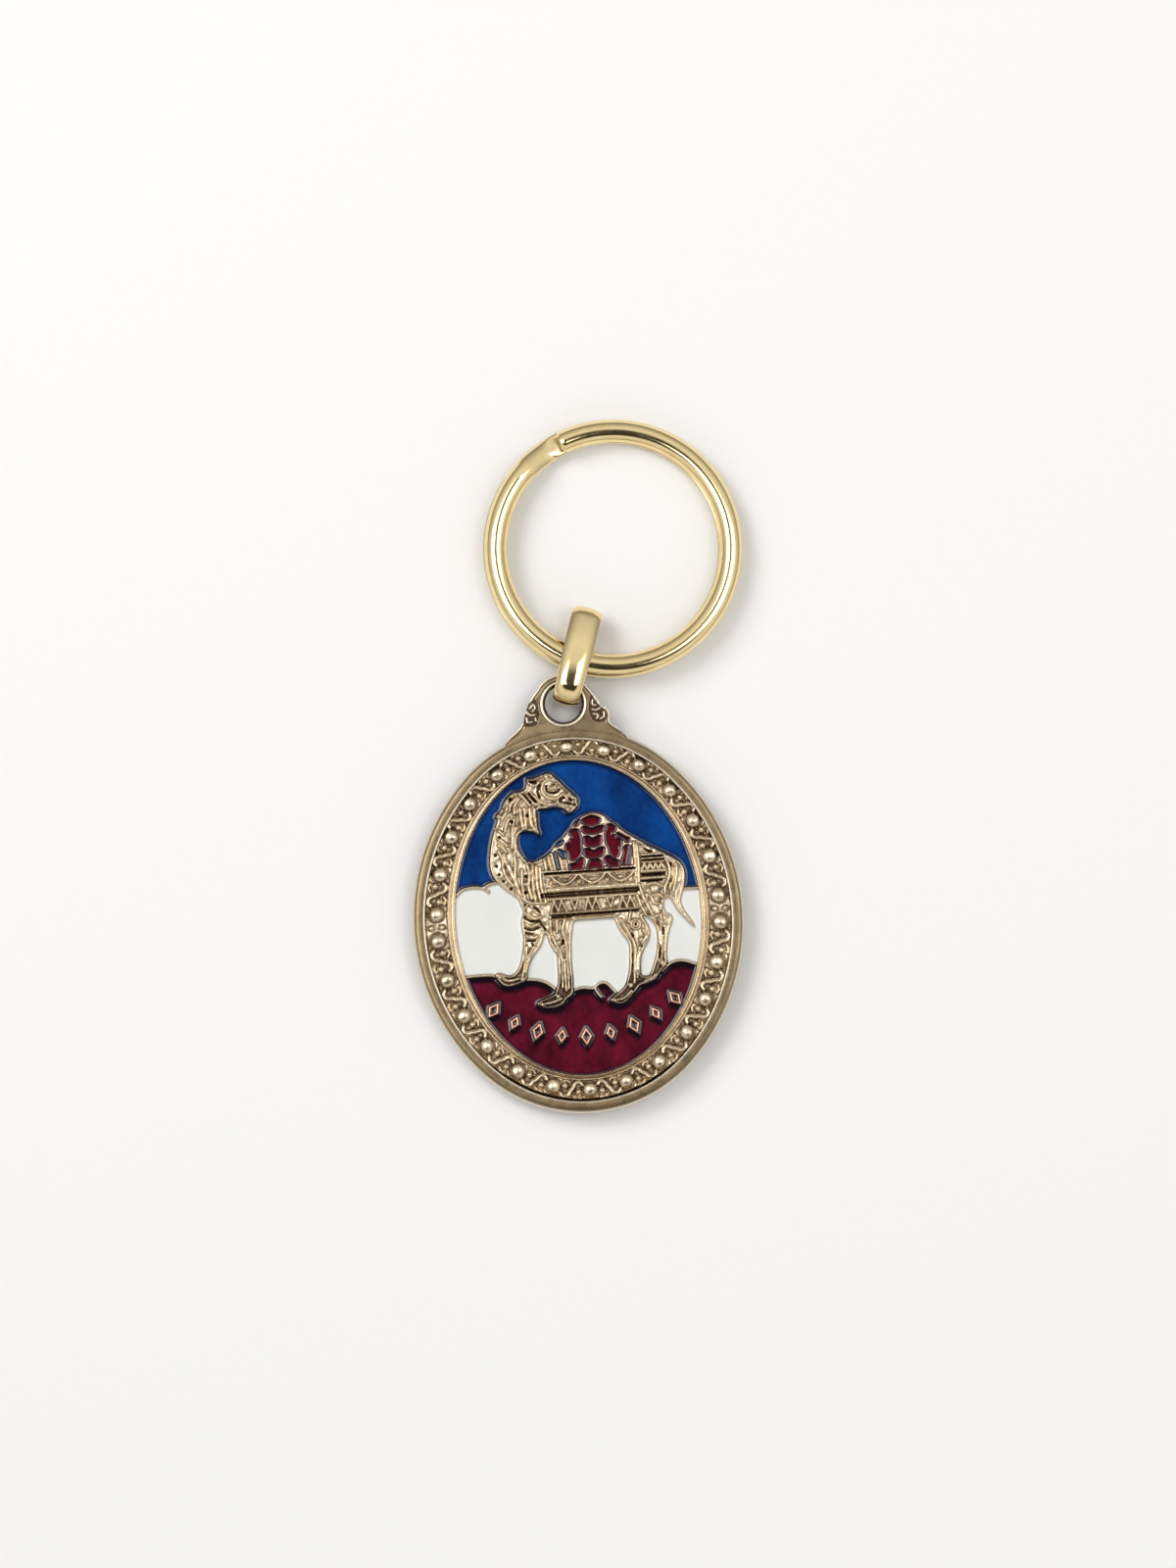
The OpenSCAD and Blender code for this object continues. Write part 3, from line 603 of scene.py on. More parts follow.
def border_strokes(angle, length):
    """The lines of the whole border's ornament, by kind."""
    pairs = [(half + b, half + 180 - b) for half in (0, 180) for b in BOSS_ANGLES]
    degrees = sorted([a for pair in pairs for a in pair] + [90, 270])
    spots = [np.interp(math.radians(a), angle, length) for a in degrees]
    drawn = {kind: [] for kind in ("ribbon", "curl", "knob", "stud", "pit")}
    drawn["boss"] = [[(s, 0.0)] for s in spots]
    for n, (a, s) in enumerate(zip(degrees, spots)):
        gap = (spots[(n + 1) % len(spots)] - s) % length[-1]
        hand = 1 if (a + 4) % 180 < 90 else -1
        kinds = {"ribbon": RIBBON, "curl": CURLS, "knob": KNOBS, "pit": PITS}
        for kind, lines in ({"stud": STUDS} if gap < NARROW_GAP else kinds).items():
            drawn[kind] += [[(s + gap * along, hand * across) for along, across in line] for line in lines]
    return drawn


def bead(distance, radius, height, power=0.6):
    """A round-topped dot."""
    return hump(distance, radius) ** power * height


def border_relief(patch, drawn, total):
    """The height of the ornament, which runs on from the band's end to its start."""
    def wrap(lines):
        return [np.asarray(line) + (shift, 0) for line in lines for shift in (-total, 0, total)]

    to_boss = patch.near(wrap(drawn["boss"]), 1.3)
    dome = bead(to_boss, 0.86, 0.56, 0.5)
    ribbons = wrap([curve(line) for line in drawn["ribbon"]])
    ribbon = patch.stroke(ribbons, 0.36, 0.5) - patch.stroke(ribbons, 0.1, 0.1)
    curl = patch.stroke(wrap([curve(line) for line in drawn["curl"]]), 0.24, 0.36)
    knob = bead(patch.near(wrap(drawn["knob"]), 0.6), 0.42, 0.46)
    stud = bead(patch.near(wrap(drawn["stud"]), 0.6), 0.4, 0.4)
    rails = hump(np.abs(patch.Y + 0.06) - 1.1, 0.09) * 0.34
    raised = np.maximum.reduce([dome, ribbon, curl, knob, stud, rails])
    raised -= patch.stroke(wrap(drawn["pit"]), 0.28, 0.16) * (raised < 0.12)
    raised -= 0.1 * hump(to_boss - 0.95, 0.14) * (raised < 0.3)
    uneven = ripple(patch.X, patch.Y, 5, 0.8) * 0.012 + ripple(patch.X, patch.Y, 6, 1.6) * 0.03
    return 2.0 + raised + uneven - 0.25 * ease(patch.Y, 1.12, 1.2)


def border_ornament():
    """Round bosses, each ringed by a shallow groove, linked by S-shaped ribbons over a dark ground."""
    angle, length = border_line()
    patch = Patch((0, -BORDER_HALF), (length[-1], BORDER_HALF), BORDER_STEP)
    height = border_relief(patch, border_strokes(angle, length), length[-1])
    cavity = np.clip(cavity_of(height, BORDER_STEP, 0.36, 0.36) + 0.16, 0, 1)
    columns = int(length[-1] / patch.step)
    at = np.interp(patch.X[0, :columns], length, angle)
    inner, outer = ellipse(RIDGE, at), ellipse(CHANNEL, at)
    across = np.linspace(-0.06, 1.06, height.shape[0])
    rows, shade = [], []
    for n in range(columns):
        line = inner[n] + (outer[n] - inner[n]) * across[:, None]
        row = np.column_stack([line, height[:, n]])
        rows.append(np.vstack([[*line[0], POCKET_Z], row, [*line[-1], POCKET_Z]]))
        shade.append(np.concatenate([[0], cavity[:, n], [0]]))
    points, faces = swept(rows)
    cast_piece("border_ornament", points, faces, np.concatenate(shade))


LUG_LEFT = [
    (-7.6, 19.6), (-6.7, 21.4), (-5.6, 22.35), (-5.0, 23.1), (-4.55, 24.1), (-4.15, 25.1), (-3.72, 26.0),
]
LUG_RIGHT = [(3.95, 25.5), (4.3, 24.8), (4.85, 24.45), (5.2, 24.0), (5.3, 23.4), (5.2, 22.85), (5.65, 22.3),
             (6.7, 21.4), (7.6, 19.6)]
LUG_PANELS = [
    [(-4.15, 25.2), (-3.3, 25.9), (-3.0, 24.9), (-3.0, 23.6), (-3.5, 22.9), (-4.7, 22.95), (-4.6, 23.9)],
    [(3.3, 26.0), (3.95, 24.95), (4.75, 24.2), (4.95, 23.3), (4.3, 22.8), (3.3, 23.1), (2.95, 24.3)],
]
LUG_SCROLLS = [
    [(-3.9, 24.9), (-3.5, 25.3), (-3.3, 24.9), (-3.6, 24.55)], [(-4.25, 24.4), (-3.9, 24.1), (-3.4, 24.1)],
    [(-4.35, 23.75), (-4.3, 23.3), (-3.8, 23.3)], [(-3.35, 23.7), (-3.3, 23.4)],
    [(3.4, 25.4), (3.35, 24.9), (3.7, 24.75)], [(3.3, 24.3), (3.75, 24.2), (4.2, 24.4)],
    [(4.6, 23.9), (4.6, 23.4), (4.2, 23.15)], [(3.45, 23.75), (3.9, 23.6), (3.75, 23.2)],
]


def lug():
    """The eye at the top: smooth outer band, scroll panels and a raised collar round the hole."""
    crown = arc_profile((0, HOLE_Y), EYE_R, 150, 30, 13)
    outline = curve(LUG_LEFT + crown + LUG_RIGHT, 6)
    hole = np.array(arc_profile((0, HOLE_Y), HOLE_R, 0, 360, 97)[:-1])
    patch = Patch((-8.2, 19.2), (8.2, 29.2), 0.05)
    signed = patch.signed([outline, hole], 1.2)
    from_edge = patch.signed([outline], 1.2)
    r = np.hypot(patch.X, patch.Y - HOLE_Y)
    inset = inset_of(patch.X, patch.Y)
    height = np.full(r.shape, LUG_TOP) + 0.1 * ease(inset, -0.9, 0.2)
    rounding = 1 - np.sqrt(1 - (1 - np.clip(from_edge / 0.55, 0, 1)) ** 2)
    height -= 0.5 * rounding * (1 - ease(inset, -0.4, 0.3))
    recess = patch.signed([curve(p, 6, True) for p in LUG_PANELS], 0.6)
    height -= 0.42 * ease(recess, -0.05, 0.14)
    height += patch.stroke([curve(line) for line in LUG_SCROLLS], 0.24, 0.46) * (recess > 0)
    collar = hump(r - 2.56, 0.3) ** 0.6
    height = np.maximum(height, 2.74 + 0.33 * collar)
    height = np.where(r < 2.36, height - 0.7 * ((2.36 - r) / 0.24).clip(0, 1), height)
    height -= 0.9 * ease(inset, 0.42, 0.52)
    points, faces, shown = solid(patch, signed, height, LUG_FOOT)
    scroll = patch.stroke([curve(line) for line in LUG_SCROLLS], 0.24, 1.0)
    cavity = np.clip(0.9 - 1.6 * ease(recess, -0.05, 0.1) + 1.5 * scroll, 0, 1)
    # A darker ring on the flat top just round the collar's foot.
    collar_foot_ring = hump(r - 2.95, 0.16)
    cavity = np.where(r < 2.34, 0.16, cavity - 0.5 * collar_foot_ring)
    # Painted highlight, partly real wear: pale scroll crests, collar crest and a line along the lug's outer
    # edge.
    wear_and_highlight_mask = np.maximum(scroll * (recess > 0), hump(r - 2.5, 0.2))
    wear_and_highlight_mask = np.maximum(wear_and_highlight_mask, np.clip(1 - np.abs(from_edge - 0.12) / 0.14, 0, 1) * (inset < -0.1))
    cast_piece("lug", points, faces, sample(cavity, shown, 0.25), RIM_METAL, crease=50,
               worn=sample(wear_and_highlight_mask, shown, 0.0))


# ---- the animal's relief -------------------------------------------------------------
def bars(x_top, x_foot, y_top, y_foot):
    """Straight lines from each place in x_top down to the same one in x_foot."""
    return [[(a, y_top), (b, y_foot)] for a, b in zip(x_top, x_foot)]


def zigzag(x0, x1, low, high, teeth):
    xs = np.linspace(x0, x1, 2 * teeth + 1)
    return [(x, low if n % 2 == 0 else high) for n, x in enumerate(xs)]


HEAD_RIDGES = [
    [(-3.0, 16.2), (-3.2, 15.4), (-2.9, 14.7), (-2.3, 14.35), (-1.5, 14.3), (-0.8, 14.75)],
    [(-3.0, 16.2), (-2.3, 16.55), (-1.5, 16.35), (-0.8, 15.75), (-0.2, 15.2)],
    [(-0.6, 14.6), (-0.2, 14.0)], [(-0.1, 14.8), (0.35, 14.2)],
    [(-1.6, 13.55), (-2.6, 13.6), (-3.6, 14.1), (-4.5, 15.1)],
    [(-3.6, 13.6), (-4.3, 13.95), (-5.2, 15.1)], [(-4.7, 13.7), (-5.4, 14.6), (-5.9, 15.2)],
    [(-5.0, 16.65), (-4.2, 16.6), (-3.5, 16.85)], [(-4.6, 16.2), (-3.9, 15.9), (-3.5, 16.3)],
]
HEAD_GROOVES = [
    [(-2.65, 15.75), (-2.6, 15.2), (-2.1, 14.95), (-1.5, 15.0), (-1.15, 15.3)],
    [(-4.0, 14.1), (-4.7, 15.05)], [(-4.6, 14.0), (-5.3, 15.0)],
    [(0.75, 13.35), (0.1, 13.5), (-0.6, 13.7), (-1.2, 13.9)], [(-0.1, 14.1), (0.15, 13.95)],
    [(-4.5, 16.4), (-3.9, 16.3)], [(-3.4, 15.9), (-3.7, 15.2), (-3.5, 14.5)],
    [(-1.1, 14.15), (-0.7, 14.3)],
]
NECK_RIDGES = [
    [(-6.2, 15.1), (-6.9, 14.8), (-7.4, 14.2), (-7.8, 13.6)], [(-6.2, 14.6), (-6.9, 14.0), (-7.1, 13.2)],
    [(-5.9, 14.5), (-6.5, 13.6), (-6.6, 12.6)], [(-7.5, 13.0), (-8.0, 12.4), (-8.3, 11.6)],
    [(-7.2, 12.3), (-7.6, 11.6), (-7.8, 10.8)], [(-6.6, 12.2), (-6.9, 11.0), (-7.0, 9.8), (-7.1, 8.9)],
    [(-6.4, 11.2), (-6.75, 10.2), (-6.75, 9.0), (-6.4, 7.9)], [(-8.5, 11.0), (-8.0, 10.5)],
    [(-8.7, 10.1), (-8.1, 9.7), (-7.6, 9.2)], [(-8.7, 9.3), (-8.2, 9.0), (-7.8, 8.5)],
    [(-8.7, 8.6), (-8.3, 7.6), (-8.3, 6.6), (-7.9, 5.4), (-7.3, 4.5)],
    [(-8.1, 8.2), (-7.9, 7.2), (-7.5, 6.2), (-7.1, 5.2)], [(-7.6, 6.9), (-7.2, 5.6), (-6.8, 4.2)],
    [(-6.9, 8.4), (-6.8, 7.0), (-7.0, 5.6), (-6.7, 4.0), (-6.5, 3.3)],
    [(-5.9, 13.4), (-5.8, 12.0), (-5.7, 11.0)], [(-5.35, 13.4), (-5.3, 11.0)],
    [(-4.75, 13.3), (-4.7, 11.6), (-4.3, 10.7)], [(-4.2, 13.2), (-4.15, 11.4), (-3.9, 10.4)],
]
NECK_PITS = [
    (-9.1, 8.2), (-9.05, 6.9), (-8.8, 5.9), (-8.35, 5.1), (-7.5, 4.2), (-8.5, 10.2), (-8.9, 11.2),
    (-6.9, 14.5), (-6.9, 11.9), (-6.5, 12.6), (-5.1, 12.5), (-5.7, 5.5), (-5.9, 3.6),
]
CHEST_RIDGES = [
    [(-6.15, 6.3), (-6.2, 4.4), (-6.0, 3.0)], [(-5.55, 7.0), (-5.3, 5.8), (-5.5, 4.2), (-5.2, 2.9)],
    [(-4.9, 6.9), (-4.95, 4.6), (-4.8, 2.7)], [(-4.45, 6.6), (-4.5, 4.4), (-4.2, 2.6)],
    [(-4.05, 6.4), (-4.0, 4.2), (-3.6, 2.4)], [(-6.4, 3.1), (-5.6, 2.5), (-4.6, 2.3), (-3.6, 2.3)],
    [(-6.3, 1.6), (-5.6, 2.2), (-4.9, 1.4), (-4.4, 1.0)],
]
BLANKET_RIDGES = bars((-3.6, -3.1, -2.6, -1.7, -1.1), (-3.3, -2.7, -2.25, -1.45, -0.85), 7.9, 6.1) + [
    [(-3.9, 5.85), (6.9, 5.85)], [(-3.3, 5.35), (6.8, 5.35)],
    [(-3.1, 0.98), (6.8, 0.98)], [(-3.1, 2.62), (6.8, 2.62)], [(-3.0, 0.3), (4.2, 0.3)],
]
BLANKET_GROOVES = [[(-3.5, 5.62), (6.9, 5.62)], [(-3.9, 3.12), (7.0, 3.12)], [(-3.2, 0.72), (7.0, 0.72)]]
RUMP_RIDGES = [
    [(7.35, 8.2), (7.4, 6.0), (7.3, 4.0)], [(7.0, 8.6), (7.0, 3.6)], [(7.9, 7.05), (10.2, 7.05)],
    [(7.9, 6.62), (10.3, 6.62)], [(7.9, 6.25), (10.3, 6.25)], [(7.7, 5.15), (10.4, 5.15)],
    [(7.7, 4.35), (10.3, 4.35)], [(10.5, 6.6), (10.9, 5.6), (10.85, 4.4), (10.3, 3.2), (10.2, 2.5)],
    [(10.9, 6.6), (11.35, 5.5), (11.2, 4.2), (10.8, 3.0)],
    [(11.3, 6.4), (11.8, 5.4), (11.6, 4.0), (11.2, 2.6)],
    [(8.0, 8.1), (9.0, 7.6), (10.2, 7.0), (11.6, 6.0)], [(7.3, 3.7), (7.7, 2.2), (8.4, 0.6), (8.9, -0.9)],
    [(7.0, 2.4), (7.5, 0.8), (8.3, -0.6)], [(8.3, 3.6), (9.2, 3.7), (10.0, 3.3)],
    [(8.6, 2.2), (8.9, 1.4), (9.6, 1.2), (9.6, 0.6)], [(9.9, 2.0), (9.5, 2.4), (8.9, 2.3)],
    [(8.9, -0.2), (9.5, 0.0), (9.6, -0.6)], zigzag(7.75, 10.35, 5.4, 5.9, 4),
]
RUMP_GROOVES = [
    [(7.9, 6.84), (10.3, 6.84)], [(7.9, 6.44), (10.3, 6.44)], [(7.8, 4.75), (10.3, 4.75)],
    [(7.7, 4.05), (10.0, 4.05)], [(8.2, 7.8), (8.6, 7.5), (9.0, 7.45)],
    [(11.1, 5.9), (11.35, 5.0), (11.0, 3.8)],
]
LEG_RIDGES = [
    [(-6.2, 0.0), (-5.5, -0.3), (-4.6, -0.1)], [(-6.2, -1.4), (-5.4, -1.7), (-4.9, -1.5)],
    [(-6.1, 1.3), (-5.2, 0.6), (-4.3, 0.7)], [(-6.2, -2.6), (-6.5, -4.4), (-6.9, -6.1)],
    [(-5.3, -2.7), (-6.1, -4.0), (-6.5, -5.6)], [(-9.6, -5.9), (-8.6, -6.4), (-7.4, -6.3)],
    [(-3.2, 0.6), (-3.3, -1.2), (-2.7, -2.8), (-2.3, -4.2), (-2.35, -7.6)],
    [(-1.5, 0.4), (-1.9, -1.0), (-1.6, -3.0), (-1.6, -7.8)], [(-2.5, 0.3), (-2.6, -1.2)],
    [(-1.95, -4.4), (-1.95, -8.0)], [(-5.0, -9.4), (-3.8, -9.3), (-2.6, -8.9)],
    [(4.9, -0.2), (5.6, -1.6), (6.3, -3.2), (6.2, -5.2), (6.0, -7.6)],
    [(6.9, -3.6), (6.6, -5.0), (6.4, -7.0)], [(5.8, -0.6), (6.1, 0.6)],
    [(7.4, -1.6), (7.7, -2.4), (7.2, -3.2)], [(3.5, -9.5), (4.6, -9.4), (5.6, -8.6)],
    [(9.4, -1.4), (9.35, -3.2), (9.3, -5.0)], [(8.0, -7.2), (8.9, -6.7), (9.4, -6.0)],
    [(7.2, -7.5), (7.9, -7.3)],
]
LEG_GROOVES = [
    [(-6.3, 0.85), (-5.6, 0.3), (-4.6, 0.25)], [(-6.2, -0.5), (-5.5, -0.75), (-4.7, -0.55)],
    [(-6.1, -1.05), (-5.4, -1.25)], [(-6.0, -1.95), (-5.2, -2.0)], [(-5.6, -2.05), (-5.5, -2.5)],
    [(-4.5, 0.2), (-3.9, -0.8)], [(-6.0, 2.2), (-4.8, 1.7), (-4.3, 1.0)], [(9.75, -1.6), (9.7, -2.2)],
    [(9.25, -3.6), (9.15, -4.9)], [(-1.9, -2.2), (-2.1, -2.6)], [(6.05, -2.0), (6.2, -2.3)],
    [(6.6, -0.95), (6.6, -0.85)],
]
DOMES = [
    (-5.5, -1.6), (-2.35, -2.4), (7.1, -2.7), (9.4, -5.6), (-6.9, -6.4), (-3.0, -8.6), (5.5, -7.9),
    (9.2, 1.9), (8.3, 2.9), (0.35, 13.75), (-0.35, 12.95), (-2.6, 17.0), (-1.5, 16.9), (-7.35, 14.1),
    (-8.5, 12.7), (-5.6, 4.6), (9.6, -0.9),
]
# Places along the cloths, and the lines of the eye, the rolled hem and the crease under the saddle.
FESTOONS = (-1.3, 2.0, 5.3)
CRESTS = (-2.15, 1.8, 5.8)
ANIMAL_EYE = [(-2.1, 15.5), (-1.6, 15.6)]
CLOTH_ROLL = [(-3.2, 3.72), (6.9, 3.72)]
CLOTH_CREASE = [(-3.9, 3.12), (7.0, 3.12)]
RELIEF_STEP = 0.05


def cell_loops(kind):
    """The outlines of the small enamel cells of the animal's saddle or blanket."""
    cells = [node for node in frame["nodes"] if node.startswith(kind)]
    return [loop for node in cells for loop in node_loops(node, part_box(node)[1][2] / MM)]


def smooth(lines):
    """Lines of three points or more drawn as curves, and the rest left straight."""
    return [curve(line) if len(line) > 2 else line for line in lines]


def dress_strokes(patch):
    """The raised pattern on the animal's cloths: crests, festoons, tassels and a rosette."""
    zig = [[(x - 0.95, 1.15), (x - 0.55, 2.45), (x - 0.1, 1.2), (x + 0.35, 2.45), (x + 0.85, 1.15)]
           for x in CRESTS]
    zig += [[(x - 0.4, 2.4), (x, 1.3), (x + 0.4, 2.4), (x - 0.4, 2.4)] for x in (-0.3, 3.85)]
    swags = [curve([(x - 1.5, 5.25), (x - 0.8, 4.6), (x, 4.3), (x + 0.8, 4.6), (x + 1.5, 5.25)])
             for x in FESTOONS]
    swags += [[(x - 0.45, 5.1), (x + 0.45, 5.1)] for x in FESTOONS]
    tassels = [[(x + k, 4.5)] for x in FESTOONS for k in (-1.6, 1.6)]
    turns = np.arange(8) * math.pi / 4
    rosette = [curve([(6.6 + 0.55 * math.cos(a), -0.9 + 0.55 * math.sin(a)) for a in turns], 4, True)]
    return np.maximum.reduce([
        patch.stroke(zig, 0.2, 0.34),
        patch.stroke(swags, 0.22, 0.34),
        patch.stroke(tassels, 0.34, 0.34),
        patch.stroke(rosette, 0.2, 0.26),
    ])


def animal_strokes(patch):
    """What stands up from the animal's skin, less what is cut into it."""
    ridges = HEAD_RIDGES + NECK_RIDGES + CHEST_RIDGES + BLANKET_RIDGES + RUMP_RIDGES + LEG_RIDGES
    grooves = HEAD_GROOVES + BLANKET_GROOVES + RUMP_GROOVES + LEG_GROOVES
    bands = patch.trench([[(-3.0, 1.8), (6.8, 1.8)]], 0.8, 0.05)
    bands = bands + patch.trench([[(-3.2, 4.75), (6.7, 4.75)]], 0.6, 0.04)
    ups = np.maximum.reduce([
        patch.stroke(smooth(ridges), 0.24, 0.28),
        dress_strokes(patch),
        patch.stroke([[d] for d in DOMES], 0.42, 0.32),
        patch.stroke([ANIMAL_EYE], 0.33, 0.42),
        patch.stroke([CLOTH_ROLL], 0.36, 0.3),
    ])
    downs = np.maximum.reduce([
        patch.stroke(smooth(grooves), 0.16, 0.22),
        patch.stroke([[p] for p in NECK_PITS], 0.22, 0.26),
        patch.stroke([CLOTH_CREASE], 0.3, 0.42),
        patch.stroke([[(-3.2, 0.55), (-0.9, 0.55)]], 0.3, 0.24),
    ])
    return ups - downs - bands


def animal():
    """The standing animal: its outline from the CAD, its dress and muscles as raised and cut strokes."""
    loops = node_loops("medal_casting", 2.6)
    patch = Patch((-10.6, -10.5), (13.9, 17.8), RELIEF_STEP)
    signed = patch.signed(loops, 2.0)
    inward = signed.clip(0)
    height = 2.24 + 0.17 * (1 - np.exp(-inward / 0.09)) + 0.22 * (1 - np.exp(-inward / 1.3))
    to_saddle = patch.near(cell_loops("saddle"), 0.8, closed=True)
    to_cell = np.minimum(to_saddle, patch.near(cell_loops("blanket"), 0.8, closed=True))
    away = ease(to_cell, 0.3, 0.6)
    height += 0.09 * hump(inward - 0.17, 0.14) * away
    height -= 0.08 * hump(inward - 0.40, 0.13) * away
    height += animal_strokes(patch) * ease(inward, 0.02, 0.2)
    height += 0.04 * ripple(patch.X, patch.Y, 22, 1.4) * ease(inward, 0.1, 0.4) * away
    height -= 0.3 * (1 - ease(to_cell, 0.03, 0.12))
    height = np.where(signed > 0, height.clip(2.12, 3.04), 2.2)
    # The legs are made darker towards the hooves.
    legs = 1 - ease(patch.Y, -9.5, -1.5)
    dress = (patch.Y > 0.9) & (patch.Y < 5.6) & (patch.X > -3.2) & (patch.X < 7.0)
    tone = cavity_of(height, RELIEF_STEP, 0.34, 0.36) + 0.04 - 0.55 * legs + 0.06 * dress
    # Painted reflection of the red enamel: a pink tint on the metal next to the saddle's red cells.
    rosy = 1 - ease(to_saddle, 0.22, 0.42)
    points, faces, shown = solid(patch, signed, height, RELIEF_FOOT)
    cast_piece("camel_relief", points, faces, sample(tone.clip(0, 1), shown, 0.3),
               rosy=sample(rosy, shown, 0.0))


def walls_and_motifs():
    """The thin cell walls of the scene, and the row of raised lozenges on the ground."""
    loops = node_loops("medal_casting", 2.4)
    walls = [loop for loop in loops if loop[:, 1].mean() > -9.3]
    motifs = [loop for loop in loops if loop[:, 1].mean() <= -9.3]
    low, high = np.vstack(walls).min(axis=0) - 0.2, np.vstack(walls).max(axis=0) + 0.2
    patch = Patch(low, high, 0.04)
    signed = patch.signed(walls, 0.4)
    height = 2.16 + 0.26 * np.sqrt(1 - (1 - np.clip(signed / 0.16, 0, 1)) ** 2)
    points, faces, shown = solid(patch, signed, height, RELIEF_FOOT)
    cast_piece("scene_cell_walls", points, faces, sample(0.45 + 0.5 * ease(height, 2.2, 2.4), shown, 0.2))
    outer = [loop for loop in motifs if np.ptp(loop[:, 1]) > 1.6]
    for n, rim in enumerate(sorted(outer, key=lambda loop: loop[:, 0].mean())):
        middle = rim.mean(axis=0)
        mine = [loop for loop in motifs if np.hypot(*(loop.mean(axis=0) - middle)) < 0.4]
        low, high = rim.min(axis=0) - 0.15, rim.max(axis=0) + 0.15
        patch = Patch(low, high, 0.035)
        signed = patch.signed(mine, 0.4)
        height = 2.17 + 0.25 * np.sqrt(1 - (1 - np.clip(signed / 0.17, 0, 1)) ** 2)
        points, faces, shown = solid(patch, signed, height, RELIEF_FOOT)
        cavity = sample(0.25 + 0.75 * ease(height, 2.19, 2.3), shown, 0.0)
        cast_piece(f"ground_lozenge_{n + 1}", points, faces, cavity, RED_REFLECTING_BRONZE)


def glaze(node, material, slot, step, shade_up, grow=0.0):
    """One pool of enamel: level, drawn up a little where it wets the metal round it."""
    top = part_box(node)[1][2] / MM
    loops = node_loops(node, top)
    low, high = np.vstack(loops).min(axis=0) - 0.25, np.vstack(loops).max(axis=0) + 0.25
    patch = Patch(low, high, step)
    signed = patch.signed(loops, 1.2) + grow
    inward = signed.clip(0)
    height = top - 0.02 + 0.06 * np.exp(-inward / 0.12) + 0.006 * ripple(patch.X, patch.Y, 31, 3.0)
    points, faces, shown = solid(patch, signed, height, RELIEF_FOOT + 0.02)
    # Painted shadow: the darkening near the walls reaches further in below walls above and to the right of
    # walls on the left, as if they cast shade from the upper left.
    lift = max(1, round(shade_up / patch.step))
    above = np.vstack([signed[lift:], np.full((lift, signed.shape[1]), -1.0)])
    shift = lift // 2
    beside = np.hstack([np.full((signed.shape[0], shift), -1.0), signed[:, : signed.shape[1] - shift]])
    edge = np.minimum.reduce([inward, above.clip(0), beside.clip(0) + 0.05])
    name = node.replace("_enamel", "_glaze").replace("_cell", "_glaze")
    add_piece(name, "medal", slot, material, points, faces, [node], 40, edge=sample(edge, shown, 0.0))


def enamels():
    for node in frame["nodes"]:
        if node == "sky_enamel":
            glaze(node, BLUE, "blue_enamel", 0.085, 0.12)
        elif node == "ground_enamel":
            glaze(node, RED, "red_enamel", 0.075, 0.5)
        elif node.endswith("cloud_enamel"):
            glaze(node, WHITE, "white_enamel", 0.09, 0.05)
        elif node.startswith("blanket"):
            glaze(node, BLUE_CELL, "blue_enamel", 0.035, 0.05, 0.06)
        elif node.startswith("saddle"):
            glaze(node, RED_CELL, "red_enamel", 0.035, 0.2, 0.1)


# ---- link and ring -------------------------------------------------------------------
def joint_of(name):
    return next(j for j in frame["record"]["behaviour"]["joints"] if j["name"] == name)


def link_section():
    """The strip's section: (share of the half width, depth below the outer face)."""
    corner_w, corner_h = 0.16, 0.22
    domed = [(x, 0.46 * abs(x) ** 3.3) for x in np.linspace(-1, 1, 25)]
    bend = arc_profile((0, 0), 1, 0, 90, 5)
    right = [(1 - corner_w + corner_w * c, LINK_T - corner_h + corner_h * d) for c, d in bend]
    flat = [(x, LINK_T) for x in np.linspace(0.7, -0.7, 7)]
    left = [(-x, depth) for x, depth in right[::-1]]
    return domed + right + flat + left


def link_stations():
    """The link's outline from the side: each arc's centre, along and up, its radius and a direction."""
    slope = math.radians(LINK_SLOPE)
    reach = LINK_LEN - LINK_OUT
    taper = math.tan(slope / 2)
    tip = (2 * LINK_OUT - taper * reach) / (1 + math.cos(slope) - taper * (1 - math.sin(slope)))
    arch = (reach - (1 - math.sin(slope)) * tip) / math.sin(slope)
    run = reach - tip
    steps = int(40 / COARSE)
    lug_end = [(0, 0, LINK_OUT, a) for a in np.linspace(90, 270, 2 * steps)]
    lower_run = [(run * u, 0, LINK_OUT, 270) for u in np.linspace(0, 1, steps + 2)[1:-1]]
    ring_end = [(run, tip - LINK_OUT, tip, a) for a in np.linspace(-90, 90 - LINK_SLOPE, 2 * steps)]
    arched_run = [(0, LINK_OUT - arch, arch, a) for a in np.linspace(90 - LINK_SLOPE, 90, steps + 2)[1:-1]]
    return lug_end + lower_run + ring_end + arched_run


def connecting_link():
    """A band of gilt strip bent into a long loop through the lug and round the ring."""
    pivot = Vector(joint_of("link_fold")["pos_m"]) / MM
    across = Vector(joint_of("link_fold")["axis"]).normalized()
    up = Vector((0, 0, 1))
    along = up.cross(across)
    section = link_section()
    rows = []
    for x, z, radius, a in link_stations():
        reach = x + radius * math.cos(math.radians(a))
        out = along * math.cos(math.radians(a)) + up * math.sin(math.radians(a))
        middle = pivot + along * x + up * z
        half = LINK_HALF + LINK_GAIN * ease(reach, -2.0, 5.0)
        rows.append([tuple(middle + out * (radius - depth) + across * (x * half)) for x, depth in section])
    points, faces = swept(rows)
    add_piece("connecting_link_band", "link", "bright_gold_plate", GOLD, points, faces,
              ["connecting_link"], 50)


